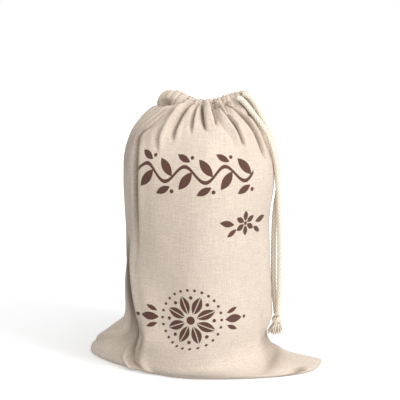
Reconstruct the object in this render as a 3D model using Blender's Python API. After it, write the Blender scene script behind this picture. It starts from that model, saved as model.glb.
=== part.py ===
"""A drawstring bread bag of linen cloth, filled and standing, its mouth drawn in by a cotton cord.

The bag is one thin shell with the casing turned in at its mouth. Its sewn bottom corners stand out as two
ears on the surface. The two ends of the cord leave the casing at the right, hang over the shoulder, and
end in one knot and a frayed tuft.

Frame: +X is the bag's right, the front looks along -Y, +Z is up, and the origin is under the middle of the
bag, on the surface it stands on. Lengths are millimetres until MM turns them into metres. A turn is a place
around the bag in degrees: 0 at the right side seam, 90 at the back, 180 at the left seam, 270 at the front.
"""

import math

import bmesh
import bpy
import numpy as np
from mathutils import Matrix, Vector

MM = 0.001
GAP = 0.3

CLOTH = 1.5
COLUMNS = 108
DENSE = 1440

# How far the wall reaches to each side of the axis at each height, and how far past it each sewn bottom
# corner stands out as an ear.
AXIS_X = -3.0
HEIGHT, RIGHT, LEFT, FRONT, BACK, RIGHT_EAR, LEFT_EAR = range(7)
SECTIONS = np.array(
    [
        (0.0, 80.0, 85.0, 75.0, 74.0, 49.5, 36.0),
        (2.0, 80.0, 85.5, 77.0, 76.5, 50.0, 38.5),
        (4.0, 79.0, 85.5, 78.5, 78.0, 42.0, 38.5),
        (7.0, 77.0, 84.5, 79.5, 79.0, 25.0, 37.0),
        (11.0, 75.0, 84.0, 80.0, 79.5, 11.0, 34.5),
        (17.0, 72.0, 83.0, 80.0, 80.0, 3.5, 28.5),
        (24.0, 70.0, 82.0, 80.0, 80.0, 0.5, 20.0),
        (31.0, 70.0, 81.0, 80.0, 80.0, 0.0, 11.0),
        (39.0, 72.5, 80.5, 79.5, 80.0, 0.0, 3.5),
        (54.0, 75.0, 81.0, 79.5, 79.5, 0.0, 0.5),
        (78.0, 75.0, 81.5, 79.0, 79.0, 0.0, 0.0),
        (110.0, 73.5, 79.0, 78.5, 78.5, 0.0, 0.0),
        (140.0, 74.0, 79.5, 78.0, 78.0, 0.0, 0.0),
        (170.0, 75.5, 81.0, 77.0, 77.0, 0.0, 0.0),
        (195.0, 77.0, 82.0, 75.0, 74.5, 0.0, 0.0),
        (213.0, 76.0, 82.0, 71.0, 70.0, 0.0, 0.0),
        (227.0, 73.5, 80.5, 65.0, 63.0, 0.0, 0.0),
        (239.0, 70.5, 77.0, 57.0, 54.5, 0.0, 0.0),
        (249.0, 67.0, 71.5, 48.5, 46.0, 0.0, 0.0),
        (258.0, 62.5, 64.0, 39.5, 37.0, 0.0, 0.0),
        (265.5, 57.5, 54.5, 30.5, 28.5, 0.0, 0.0),
        (271.0, 53.5, 46.5, 24.0, 22.5, 0.0, 0.0),
        (277.0, 52.0, 43.5, 21.0, 20.0, 0.0, 0.0),
        (283.0, 50.0, 41.0, 19.0, 18.5, 0.0, 0.0),
        (289.0, 46.0, 36.0, 17.0, 16.5, 0.0, 0.0),
    ]
)
ROW_HEIGHTS = np.array(
    [0.0, 2.0, 4.0, 7.0, 11.0, 17.0, 25.0, 36.0, 51.0, 71.0, 94.0, 118.0, 142.0, 165.0, 186.0, 204.0]
    + [219.0, 231.0, 241.5, 250.0, 257.5, 264.0, 269.5, 274.0, 278.5, 283.5, 289.0]
)

# An ear spreads from its seam over these turns, full at the first and gone by the second.
RIGHT_EAR_FRONT = (22.0, 90.0)
RIGHT_EAR_BACK = (0.0, 14.0)
LEFT_EAR_FRONT = (12.0, 72.0)
LEFT_EAR_BACK = (10.0, 62.0)
LEFT_EAR_AFT = 10.0

# The mouth is a saddle: its front and back hang lower than its two ends.
FRONT_DIP = 10.0
BACK_DIP = 15.0
DIP_FROM, DIP_TO = 222.0, 280.0

# The casing puffs out over the cord above its stitch line.
STITCH_HEIGHT = 270.0
CASING_PUFF = 2.4
STITCH_PULL = 1.2
STITCH_SPAN = 2.6

# Gathers of the drawn mouth, shallow over the shoulder and deepest at the stitch line.
GATHERS = 23
GATHER_DEPTH = 3.0
GATHER_FROM, GATHER_TO = 234.0, 272.0

# The folds that stand out. Each runs from its top over its middle to its foot, as a soft trough of this depth
# and half width, or as a ridge where the depth is negative. It is full between the two shares of its length.
TOP_TURN, MIDDLE_TURN, FOOT_TURN, TOP_HEIGHT, FOOT_HEIGHT, DEPTH, WIDTH, FULL_FROM, FULL_TO = range(9)
FOLDS = np.array(
    [
        # Front, from left to right, out of the drawn mouth.
        (226.0, 220.0, 205.0, 279.0, 243.0, 4.5, 5.0, 0.20, 0.50),
        (240.0, 233.0, 240.0, 279.0, 215.0, 3.5, 6.5, 0.15, 0.40),
        (249.0, 248.0, 246.0, 279.0, 250.0, 4.0, 4.5, 0.20, 0.50),
        (258.5, 258.0, 257.0, 279.0, 260.0, 2.8, 3.2, 0.20, 0.60),
        (269.0, 270.0, 273.0, 279.0, 257.0, 2.8, 3.2, 0.20, 0.60),
        (284.0, 287.0, 291.0, 279.0, 250.0, 4.0, 4.0, 0.20, 0.50),
        (296.0, 298.0, 302.0, 279.0, 262.0, 2.8, 3.2, 0.20, 0.60),
        (300.0, 315.0, 320.0, 273.0, 224.0, 5.0, 4.5, 0.20, 0.60),
        (316.0, 331.0, 339.0, 279.0, 212.0, 5.0, 5.5, 0.15, 0.50),
        (331.0, 345.0, 352.0, 282.0, 215.0, 3.5, 5.5, 0.15, 0.50),
        (282.0, 282.0, 281.0, 262.0, 205.0, -1.8, 9.0, 0.30, 0.60),
        # Left side: the roll beside the seam, and the valley that opens down towards the ear.
        (205.0, 221.0, 221.0, 252.0, 118.0, 5.5, 8.0, 0.25, 0.70),
        (206.0, 219.0, 243.0, 138.0, 2.0, 9.0, 11.0, 0.45, 0.90),
        (214.0, 208.0, 200.0, 76.0, 4.0, -4.0, 7.0, 0.40, 0.80),
        # Back and right side, out of the drawn mouth.
        (16.0, 14.0, 10.0, 280.0, 228.0, 4.0, 5.0, 0.20, 0.50),
        (38.0, 31.0, 27.0, 277.0, 240.0, 4.5, 5.0, 0.20, 0.50),
        (58.0, 52.0, 50.0, 276.0, 212.0, 4.0, 5.5, 0.15, 0.40),
        (74.0, 72.0, 73.0, 276.0, 250.0, 3.2, 3.6, 0.20, 0.60),
        (88.0, 90.0, 87.0, 276.0, 225.0, 4.2, 4.5, 0.15, 0.50),
        (105.0, 108.0, 112.0, 276.0, 246.0, 3.4, 4.0, 0.20, 0.60),
        (122.0, 128.0, 130.0, 276.0, 208.0, 4.4, 5.5, 0.15, 0.50),
        (143.0, 150.0, 152.0, 278.0, 236.0, 4.0, 5.0, 0.20, 0.50),
        (163.0, 165.0, 169.0, 280.0, 222.0, 4.0, 5.5, 0.20, 0.50),
        (152.0, 146.0, 138.0, 150.0, 4.0, 5.0, 11.0, 0.40, 0.85),
        (20.0, 26.0, 36.0, 96.0, 4.0, 3.5, 9.0, 0.40, 0.85),
    ]
)

# The cavity's floor and the height at which its wall meets the shell's own inner face.
FLOOR = 1.5
CAVITY_FROM = 11.0
CAVITY_NARROWING = 0.93

# The drawcord's two free ends, side by side: out of the casing, over the shoulder, then straight down.
CORD = 5.2
TAIL_SPACING = 5.0
TAIL_ROUTES = {
    "cord_tail_front": [
        (36.4, -18.8, 283.8),
        (40.2, -18.6, 282.6),
        (43.6, -17.6, 279.2),
        (48.2, -15.6, 273.2),
        (55.2, -14.6, 264.2),
        (62.6, -12.2, 253.2),
        (68.4, -9.4, 241.6),
        (72.8, -8.2, 228.0),
        (75.6, -6.4, 214.5),
        (77.3, -4.8, 200.0),
        (78.3, -3.9, 185.0),
        (79.0, -3.4, 168.0),
        (79.7, -3.2, 150.0),
        (80.2, -3.0, 130.0),
        (80.4, -3.0, 110.0),
        (80.3, -2.9, 90.0),
        (80.2, -2.8, 72.0),
        (80.4, -2.8, 60.0),
        (80.5, -2.8, 50.6),
    ],
    "cord_tail_back": [
        (42.2, -12.6, 287.0),
        (47.4, -14.0, 285.2),
        (53.8, -11.0, 279.4),
        (60.0, -4.6, 267.4),
        (66.4, -3.6, 253.0),
        (70.6, -2.0, 241.6),
        (74.1, -1.2, 228.0),
        (76.6, 0.6, 214.5),
        (77.6, 2.2, 200.0),
        (77.4, 2.9, 185.0),
        (76.2, 2.9, 168.0),
        (75.2, 2.8, 150.0),
        (74.6, 2.8, 130.0),
        (74.4, 2.8, 110.0),
        (74.8, 2.8, 90.0),
        (76.2, 2.9, 72.0),
        (77.9, 3.0, 60.0),
        (78.7, 3.0, 50.6),
    ],
}

# The knot that holds both ends, a barrel of two turns of cord, and the frayed tuft below it.
KNOT_AXIS = (79.6, 0.1)
KNOT_TOP, KNOT_FOOT = 50.3, 39.8
KNOT_RADIUS = 5.6
KNOT_SIDES, KNOT_RINGS = 28, 12
KNOT_TURNS = 0.55
STRAND = 1.1
STRAND_SIDES = 4
TUFT_HEAD = (3.9, 1.6)
TUFT_RINGS = (
    # strands, radius at the root, radius at the tip, length
    (5, 1.2, 2.6, 11.6),
    (11, 2.95, 7.2, 9.8),
)


def smooth_step(value, start, end):
    """Zero before start, one after end, with a smooth rise between."""
    share = np.clip((value - start) / (end - start), 0.0, 1.0)
    return share * share * (3.0 - 2.0 * share)


def read_smoothly(at, places, values):
    """The values at other places, along cubics that pass through every row and never overshoot one."""
    step = np.diff(places)
    slope = np.diff(values) / step
    before, after = slope[:-1], slope[1:]
    turning = before * after <= 0.0
    weight_a, weight_b = 2.0 * step[1:] + step[:-1], step[1:] + 2.0 * step[:-1]
    safe_before, safe_after = np.where(turning, 1.0, before), np.where(turning, 1.0, after)
    mean = (weight_a + weight_b) / (weight_a / safe_before + weight_b / safe_after)
    tangent = np.concatenate([slope[:1], np.where(turning, 0.0, mean), slope[-1:]])
    row = np.clip(np.searchsorted(places, at, side="right") - 1, 0, len(step) - 1)
    share = (at - places[row]) / step[row]
    rest = 1.0 - share
    return (
        values[row] * (1.0 + 2.0 * share) * rest**2
        + tangent[row] * step[row] * share * rest**2
        + values[row + 1] * share**2 * (3.0 - 2.0 * share)
        - tangent[row + 1] * step[row] * share**2 * rest
    )


def ear_spread(turns, seam, front, back):
    """How much of an ear each turn takes, from 1 at its seam to 0, over its own front and back spans."""
    away = (turns - seam + 180.0) % 360.0 - 180.0
    toward_front = away if seam else -away
    spread_front = 1.0 - smooth_step(toward_front, *front)
    spread_back = 1.0 - smooth_step(-toward_front, *back)
    return np.where(toward_front >= 0.0, spread_front, spread_back)


def wall_section(row):
    """One level line of the wall, as points an equal share of its length apart around each panel."""
    turns = np.linspace(0.0, 360.0, DENSE + 1)
    angle = np.radians(turns)
    side = np.where(np.cos(angle) > 0.0, row[RIGHT], row[LEFT])
    deep = np.where(np.sin(angle) > 0.0, row[BACK], row[FRONT])
    x = AXIS_X + side * np.cos(angle)
    y = deep * np.sin(angle)
    right = ear_spread(turns, 0.0, RIGHT_EAR_FRONT, RIGHT_EAR_BACK)
    left = ear_spread(turns, 180.0, LEFT_EAR_FRONT, LEFT_EAR_BACK)
    x += row[RIGHT_EAR] * right - row[LEFT_EAR] * left
    y += LEFT_EAR_AFT * left * row[LEFT_EAR] / SECTIONS[0, LEFT_EAR]
    length = np.concatenate([[0.0], np.cumsum(np.hypot(np.diff(x), np.diff(y)))])
    seam = DENSE // 2
    half = COLUMNS // 2
    back = np.linspace(0.0, length[seam], half + 1)[:-1]
    front = np.linspace(length[seam], length[-1], half + 1)[:-1]
    places = np.concatenate([back, front])
    return np.interp(places, length, x), np.interp(places, length, y)


def normals_of(grid):
    """The outward direction at each point of a grid whose rows close around the bag."""
    around = np.roll(grid, -1, axis=1) - np.roll(grid, 1, axis=1)
    up = np.gradient(grid, axis=0)
    normal = np.cross(around, up)
    return normal / np.maximum(np.linalg.norm(normal, axis=2, keepdims=True), 1e-9)


def relief(turns, heights, girth):
    """How far each point stands out of the smooth wall: the casing's puff, the gathers and the folds."""
    casing = np.clip((heights - STITCH_HEIGHT) / (ROW_HEIGHTS[-1] - STITCH_HEIGHT), 0.0, 1.0)
    out = CASING_PUFF * np.sin(math.pi * casing) ** 0.7
    out -= STITCH_PULL * np.exp(-(((heights - STITCH_HEIGHT) / STITCH_SPAN) ** 2))
    wander = 0.35 * np.sin(np.radians(3.0 * turns + 40.0)) + 0.3 * np.sin(np.radians(5.0 * turns))
    wave = np.cos(np.radians(GATHERS * turns) + wander * 3.0)
    out += GATHER_DEPTH * wave * smooth_step(heights, GATHER_FROM, GATHER_TO)
    for fold in FOLDS:
        share = (fold[TOP_HEIGHT] - heights) / (fold[TOP_HEIGHT] - fold[FOOT_HEIGHT])
        turn = (1.0 - share) * (1.0 - 2.0 * share) * fold[TOP_TURN]
        turn += 4.0 * share * (1.0 - share) * fold[MIDDLE_TURN] + share * (2.0 * share - 1.0) * fold[FOOT_TURN]
        aside = ((turns - turn + 180.0) % 360.0 - 180.0) / 360.0 * girth
        fade = smooth_step(share, 0.0, fold[FULL_FROM]) * (1.0 - smooth_step(share, fold[FULL_TO], 1.0))
        out -= fold[DEPTH] * fade * np.exp(-((aside / fold[WIDTH]) ** 2))
    return out


def shell_faces():
    """The bag's outer and inner faces as grids of points, mouth last."""
    rows = [read_smoothly(ROW_HEIGHTS, SECTIONS[:, HEIGHT], SECTIONS[:, column]) for column in range(7)]
    rows = np.stack(rows, axis=1)
    plan = np.array([wall_section(row) for row in rows])
    turns = np.tile(np.arange(COLUMNS) * 360.0 / COLUMNS, (len(rows), 1))
    heights = np.tile(ROW_HEIGHTS[:, None], (1, COLUMNS))
    across = np.sin(np.radians(turns))
    dip = np.where(across > 0.0, BACK_DIP, FRONT_DIP) * across**2 * smooth_step(heights, DIP_FROM, DIP_TO)
    smooth = np.stack([plan[:, 0], plan[:, 1], heights - dip], axis=2)
    girth = np.linalg.norm(np.roll(smooth, -1, axis=1) - smooth, axis=2).sum(axis=1, keepdims=True)
    outer = smooth + normals_of(smooth) * relief(turns, heights, girth)[:, :, None]
    outer[0, :, 2] = 0.0

    inner = outer - normals_of(outer) * CLOTH
    start = int(np.searchsorted(ROW_HEIGHTS, CAVITY_FROM))
    inner = inner[start:]
    floor = inner[0].copy()
    middle = floor.mean(axis=0)
    floor[:, :2] = middle[:2] + (floor[:, :2] - middle[:2]) * CAVITY_NARROWING
    floor[:, 2] = FLOOR
    return outer, np.concatenate([floor[None], inner])


def mesh_bag():
    """The shell as one closed mesh: both faces, the rim that joins them at the mouth, and both floors."""
    outer, inner = shell_faces()
    mesh = bmesh.new()
    outside = [[mesh.verts.new(point * MM) for point in row] for row in outer]
    inside = [[mesh.verts.new(point * MM) for point in row] for row in inner]
    rows = outside + inside[::-1]
    for lower, upper in zip(rows, rows[1:]):
        for column in range(COLUMNS):
            beside = (column + 1) % COLUMNS
            mesh.faces.new((lower[column], lower[beside], upper[beside], upper[column]))
    mesh.faces.new(outside[0][::-1])
    mesh.faces.new(inside[0])
    bmesh.ops.recalc_face_normals(mesh, faces=mesh.faces)
    data = bpy.data.meshes.new("bag")
    mesh.to_mesh(data)
    mesh.free()
    return data


def smooth_route(points, spacing):
    """Points a set distance apart on one smooth curve through the route's own points."""
    route = np.array(points)
    length = np.concatenate([[0.0], np.cumsum(np.linalg.norm(np.diff(route, axis=0), axis=1))])
    even = np.linspace(0.0, length[-1], round(length[-1] / spacing) + 1)
    return np.stack([read_smoothly(even, length, route[:, axis]) for axis in range(3)], axis=1)


def cord_curve(name, route):
    """A round cord along its route."""
    data = bpy.data.curves.new(name, "CURVE")
    data.dimensions = "3D"
    data.bevel_depth = CORD / 2.0 * MM
    data.bevel_resolution = 2
    data.use_fill_caps = True
    points = smooth_route(route, TAIL_SPACING)
    spline = data.splines.new("POLY")
    spline.points.add(len(points) - 1)
    for at, point in zip(spline.points, points * MM):
        at.co = (*point, 1.0)
    return data


def mesh_knot():
    """A barrel whose side is raised in two turns of cord, with flat ends for the cord above and the tuft below."""
    mesh = bmesh.new()
    rings = []
    for ring in range(KNOT_RINGS + 1):
        share = ring / KNOT_RINGS
        barrel = KNOT_RADIUS * (1.0 - abs(2.0 * share - 1.0) ** 3.2 * 0.2)
        z = KNOT_FOOT + (KNOT_TOP - KNOT_FOOT) * share
        loop = []
        for side in range(KNOT_SIDES):
            angle = 2.0 * math.pi * side / KNOT_SIDES
            lay = math.cos(2.0 * angle - 2.0 * math.pi * (2.0 * KNOT_TURNS) * share)
            radius = barrel * (1.0 + 0.13 * lay * math.sin(math.pi * share) ** 0.5)
            x, y = KNOT_AXIS[0] + radius * math.cos(angle), KNOT_AXIS[1] + radius * math.sin(angle)
            loop.append(mesh.verts.new(Vector((x, y, z)) * MM))
        rings.append(loop)
    for lower, upper in zip(rings, rings[1:]):
        for side in range(KNOT_SIDES):
            beside = (side + 1) % KNOT_SIDES
            mesh.faces.new((lower[side], lower[beside], upper[beside], upper[side]))
    mesh.faces.new(rings[0][::-1])
    mesh.faces.new(rings[-1])
    data = bpy.data.meshes.new("cord_knot")
    mesh.to_mesh(data)
    mesh.free()
    return data


def mesh_strand(root, tip, name):
    """One strand of the tuft, square in section, bowing outward and down from its root to its tip."""
    mesh = bmesh.new()
    middle = root.lerp(tip, 0.5) + Vector((root.x - KNOT_AXIS[0], root.y - KNOT_AXIS[1], 0.0)) * 0.35
    rings = []
    for centre, width in ((root, STRAND), (middle, STRAND), (tip, STRAND * 0.8)):
        loop = []
        for side in range(STRAND_SIDES):
            angle = 2.0 * math.pi * (side + 0.5) / STRAND_SIDES
            offset = Vector((math.cos(angle), math.sin(angle), 0.0)) * width / 2.0
            loop.append(mesh.verts.new((centre + offset) * MM))
        rings.append(loop)
    for upper, lower in zip(rings, rings[1:]):
        for side in range(STRAND_SIDES):
            beside = (side + 1) % STRAND_SIDES
            mesh.faces.new((lower[side], lower[beside], upper[beside], upper[side]))
    mesh.faces.new(rings[0])
    mesh.faces.new(rings[-1][::-1])
    data = bpy.data.meshes.new(name)
    mesh.to_mesh(data)
    mesh.free()
    return data


def tuft_strands():
    """Each strand's root and tip: rings of strands that spread as they hang, no two quite alike."""
    top = KNOT_FOOT - GAP - TUFT_HEAD[1] / 2.0
    number = 0
    for count, root_radius, tip_radius, length in TUFT_RINGS:
        for strand in range(count):
            angle = 2.0 * math.pi * (strand + 0.3) / count
            uneven = math.sin(4.7 * number + 1.0)
            spread = tip_radius * (1.0 + 0.10 * uneven)
            drop = length * (1.0 + 0.12 * math.sin(3.1 * number))
            root = Vector((math.cos(angle), math.sin(angle), 0.0)) * root_radius
            tip = Vector((math.cos(angle + 0.08 * uneven), math.sin(angle + 0.08 * uneven), 0.0)) * spread
            axis = Vector((*KNOT_AXIS, top))
            yield number, axis + root, axis + tip - Vector((0.0, 0.0, drop))
            number += 1


def make_tuft(collection, cutters, finish):
    """The head under the knot with every strand of the tuft joined into it."""
    radius, height = TUFT_HEAD
    mesh = bmesh.new()
    centre = Matrix.Translation(Vector((*KNOT_AXIS, KNOT_FOOT - GAP - height / 2.0)) * MM)
    bmesh.ops.create_cone(
        mesh, cap_ends=True, segments=20, radius1=radius * MM, radius2=radius * MM, depth=height * MM, matrix=centre
    )
    data = bpy.data.meshes.new("cord_tuft")
    mesh.to_mesh(data)
    mesh.free()
    tuft = place("cord_tuft", data, collection, finish)
    for number, root, tip in tuft_strands():
        name = f"strand_{number:02d}"
        strand = place(name, mesh_strand(root, tip, name), cutters, finish)
        strand.hide_render = True
        strand.display_type = "WIRE"
        joined = tuft.modifiers.new(name, "BOOLEAN")
        joined.operation = "UNION"
        joined.solver = "EXACT"
        joined.object = strand


def material(name, colour, roughness):
    """A matt cloth finish."""
    finish = bpy.data.materials.new(name)
    finish.use_nodes = True
    shader = finish.node_tree.nodes["Principled BSDF"]
    shader.inputs["Base Color"].default_value = (*colour, 1.0)
    shader.inputs["Roughness"].default_value = roughness
    shader.inputs["Metallic"].default_value = 0.0
    return finish


def place(name, data, collection, finish):
    """One named object of the bag, in its collection and with its finish."""
    obj = bpy.data.objects.new(name, data)
    data.materials.append(finish)
    collection.objects.link(obj)
    return obj


def main():
    for obj in list(bpy.data.objects):
        bpy.data.objects.remove(obj)
    collection = bpy.data.collections.new("linen_bread_bag")
    bpy.context.scene.collection.children.link(collection)
    cutters = bpy.data.collections.new("tuft_strands")
    cutters.hide_render = True
    bpy.context.scene.collection.children.link(cutters)
    linen = material("linen", (0.66, 0.55, 0.43), 0.9)
    cotton = material("cream_cotton", (0.87, 0.78, 0.60), 0.85)
    bag = place("bag", mesh_bag(), collection, linen)
    bag.data.shade_smooth()
    for name, route in TAIL_ROUTES.items():
        place(name, cord_curve(name, route), collection, cotton)
    knot = place("cord_knot", mesh_knot(), collection, cotton)
    knot.data.shade_smooth()
    make_tuft(collection, cutters, cotton)


main()
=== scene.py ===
"""The looks of a filled drawstring bread bag: linen, print, casing stitches, cotton cord, knot and tuft.

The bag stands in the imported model's own frame: +X is its right, its front looks along -Y, +Z is up. Forms are
worked out in millimetres as whole arrays and become metres when they are put into a mesh. A turn is a place
around the bag in degrees: 0 at the right side seam, 90 at the back, 180 at the left seam, 270 at the front.
"""

import logging
import math
from dataclasses import dataclass, field
from enum import Enum
from typing import Callable, NamedTuple

import bpy
import numpy as np
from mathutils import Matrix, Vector


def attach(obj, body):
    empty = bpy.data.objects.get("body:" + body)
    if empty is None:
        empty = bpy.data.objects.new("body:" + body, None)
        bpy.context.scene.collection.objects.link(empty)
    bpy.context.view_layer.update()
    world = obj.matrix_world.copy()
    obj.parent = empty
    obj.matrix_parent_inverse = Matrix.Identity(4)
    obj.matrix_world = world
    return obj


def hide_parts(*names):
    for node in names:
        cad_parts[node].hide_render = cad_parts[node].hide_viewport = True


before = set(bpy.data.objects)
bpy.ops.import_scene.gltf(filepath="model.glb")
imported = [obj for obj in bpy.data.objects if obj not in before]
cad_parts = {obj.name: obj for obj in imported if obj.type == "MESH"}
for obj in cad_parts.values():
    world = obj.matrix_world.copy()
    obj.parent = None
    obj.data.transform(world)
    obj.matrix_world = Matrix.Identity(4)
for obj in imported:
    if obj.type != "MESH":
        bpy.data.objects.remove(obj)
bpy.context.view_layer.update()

LOG = logging.getLogger("linen_bread_bag")
MM = 0.001
FULL_TURN = 360.0
HALF_TURN = 180.0
BODY = "root"
CLOTH_UV = "cloth"
STRAND_SHADE_AND_TONE = "groove"
SHADE = "shade"

Array = np.ndarray
Colour = tuple[float, float, float]
Point = tuple[float, float, float]


class Slot(Enum):
    """Names of the material slots."""

    LINEN = "linen"
    CORD = "cotton_cord"


# Numbers to arrays


def smooth_step(value: Array, start: float, end: float) -> Array:
    """Zero before start, one after end, and 3s^2 - 2s^3 of the share s between them.

    Args:
        value: Where to read the step.
        start: The last value at which it is zero.
        end: The first value at which it is one.

    Returns:
        The step at each value.
    """
    share = np.clip((value - start) / (end - start), 0.0, 1.0)
    return share * share * (3.0 - 2.0 * share)


def read_smoothly(at: Array, places: Array, values: Array) -> Array:
    """Cubics through every row of a table that never overshoot one.

    A row's tangent is the weighted harmonic mean of the slopes beside it, or 0 where they differ in sign.

    Args:
        at: The places to read.
        places: The places of the rows, rising.
        values: The values of the rows.

    Returns:
        The value at each place.
    """
    step = np.diff(places)
    slope = np.diff(values) / step
    before, after = slope[:-1], slope[1:]
    turning = before * after <= 0.0
    weight_a, weight_b = 2.0 * step[1:] + step[:-1], step[1:] + 2.0 * step[:-1]
    safe_before, safe_after = np.where(turning, 1.0, before), np.where(turning, 1.0, after)
    mean = (weight_a + weight_b) / (weight_a / safe_before + weight_b / safe_after)
    tangent = np.concatenate([slope[:1], np.where(turning, 0.0, mean), slope[-1:]])
    row = np.clip(np.searchsorted(places, at, side="right") - 1, 0, len(step) - 1)
    share = (at - places[row]) / step[row]
    rest = 1.0 - share
    return (
        values[row] * (1.0 + 2.0 * share) * rest**2
        + tangent[row] * step[row] * share * rest**2
        + values[row + 1] * share**2 * (3.0 - 2.0 * share)
        - tangent[row + 1] * step[row] * share**2 * rest
    )


def unit(vectors: Array) -> Array:
    """Each vector divided by its length."""
    return vectors / np.maximum(np.linalg.norm(vectors, axis=-1, keepdims=True), 1e-9)


def lengths_along(points: Array) -> Array:
    """How far along a line each of its points is, from zero."""
    return np.concatenate([[0.0], np.cumsum(np.linalg.norm(np.diff(points, axis=0), axis=1))])


def bell(value: Array, power: float = 2.0) -> Array:
    """One at zero, falling to nothing over about one unit each way: exp(-|v|^power)."""
    return np.exp(-(np.abs(value) ** power))


def bell_at(value: Array, place: tuple[float, float]) -> Array:
    """A bell with its middle at the place's first number and its reach from the second."""
    return bell((value - place[0]) / place[1])


def turns_away(turns: Array, centre: float | Array) -> Array:
    """How far each turn is from a centre, the short way round, in degrees."""
    return (turns - centre + HALF_TURN) % FULL_TURN - HALF_TURN


@dataclass(frozen=True)
class Waves:
    """A smooth uneven field around the bag: a sum of plane waves of turn and height with seeded phases.

    Each wave is cos(order * turn + pace * height + phase) with a whole order, so the field closes on itself.
    """

    seed: int
    count: int
    orders: tuple[int, int]
    paces: tuple[float, float]

    def __call__(self, turns: Array, heights: Array) -> Array:
        """Read the field.

        Args:
            turns: Degrees around the bag.
            heights: Millimetres up the bag.

        Returns:
            The field at each point, mostly between -1 and 1.
        """
        draw = np.random.default_rng(self.seed)
        orders = draw.integers(self.orders[0], self.orders[1] + 1, self.count)
        paces = draw.uniform(self.paces[0], self.paces[1], self.count)
        phases = draw.uniform(0.0, 2.0 * math.pi, self.count)
        total = np.zeros(np.broadcast(turns, heights).shape)
        for order, pace, phase in zip(orders, paces, phases):
            total += np.cos(np.radians(order * turns) + pace * heights + phase)
        return total / math.sqrt(self.count / 2.0) * 0.5


# Arrays to meshes


def tube_faces(rings: int, sides: int) -> Array:
    """Quads of one tube whose points are numbered ring by ring.

    Args:
        rings: How many rings it has.
        sides: How many points each ring has.

    Returns:
        Rows of four point numbers, facing outwards where the rings turn anticlockwise about the tube's way.
    """
    ring = np.arange(rings - 1)[:, None] * sides
    side = np.arange(sides)[None, :]
    beside = (side + 1) % sides
    quads = np.stack([ring + side, ring + beside, ring + sides + beside, ring + sides + side], axis=-1)
    return quads.reshape(-1, 4)


def cap_faces(sides: int, ring_start: int, pole: int, upward: bool) -> Array:
    """Triangles from one ring to a pole.

    Args:
        sides: How many points the ring has.
        ring_start: The number of its first point.
        pole: The number of the pole's point.
        upward: Whether the pole stands after the ring along the tube's way.

    Returns:
        Rows of three point numbers.
    """
    side = np.arange(sides)
    beside = (side + 1) % sides
    first, second = (side, beside) if upward else (beside, side)
    return np.stack([ring_start + first, ring_start + second, np.full(sides, pole)], axis=-1)


def closed_tubes(points: Array) -> tuple[Array, list[list[int]]]:
    """Many closed tubes from their rings, with a pole at the middle of each end ring.

    Args:
        points: Points by tube, ring, side and axis.

    Returns:
        All the points, then all the faces.
    """
    tubes, rings, sides, _ = points.shape
    starts, ends = points[:, 0].mean(axis=1), points[:, -1].mean(axis=1)
    body = points.reshape(tubes, rings * sides, 3)
    joined = np.concatenate([body, starts[:, None], ends[:, None]], axis=1)
    quads = tube_faces(rings, sides)
    foot = cap_faces(sides, 0, rings * sides, upward=False)
    head = cap_faces(sides, (rings - 1) * sides, rings * sides + 1, upward=True)
    shift = np.arange(tubes)[:, None, None] * (rings * sides + 2)
    faces = (quads[None] + shift).reshape(-1, 4).tolist()
    for cap in (foot, head):
        faces += (cap[None] + shift).reshape(-1, 3).tolist()
    return joined.reshape(-1, 3), faces


def rings_around(line: Array, radius: Array, sides: int, reference: Point) -> Array:
    """Rings of points about a line, each square to it.

    A ring's two axes are across = unit(reference x way) and over = way x across, and its points are
    line + radius * (cos(a) * across + sin(a) * over).

    Args:
        line: Centre points by any leading axes, then point and axis.
        radius: The radius at each centre point and side.
        sides: How many points each ring has.
        reference: A direction that the line never runs along.

    Returns:
        Points by the line's axes, then side and axis.
    """
    way = unit(np.gradient(line, axis=-2))
    across = unit(np.cross(np.array(reference), way))
    over = np.cross(way, across)
    angle = np.linspace(0.0, 2.0 * math.pi, sides, endpoint=False)
    spoke = np.cos(angle)[:, None] * across[..., None, :] + np.sin(angle)[:, None] * over[..., None, :]
    return line[..., None, :] + radius[..., None] * spoke


def make_mesh(name: str, points: Array, faces: list[list[int]]) -> bpy.types.Mesh:
    """A smooth-shaded mesh from points in millimetres.

    Args:
        name: The mesh's name.
        points: One row a point.
        faces: Point numbers of each face.

    Returns:
        The mesh, in metres.
    """
    mesh = bpy.data.meshes.new(name)
    mesh.from_pydata((points * MM).tolist(), [], faces)
    mesh.shade_smooth()
    mesh.validate()
    mesh.update()
    return mesh


def keep_values(mesh: bpy.types.Mesh, name: str, values: Array) -> None:
    """Keep one number a point: the share of a darker colour it takes, from 0 on a crown to 1, mostly painted
    shade in grooves and folds.
    """
    layer = mesh.attributes.new(name, "FLOAT", "POINT")
    layer.data.foreach_set("value", values.astype(np.float32))


def add_piece(name: str, mesh: bpy.types.Mesh, finish: bpy.types.Material) -> bpy.types.Object:
    """Put one finished mesh into the scene on the bag's body.

    Args:
        name: The piece's name.
        mesh: Its mesh, in place.
        finish: Its material.

    Returns:
        The piece.
    """
    piece = bpy.data.objects.new(name, mesh)
    mesh.materials.append(finish)
    bpy.context.scene.collection.objects.link(piece)
    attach(piece, BODY)
    LOG.info("%s: %d points, %d faces", name, len(mesh.vertices), len(mesh.polygons))
    return piece


# The bag's form


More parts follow.
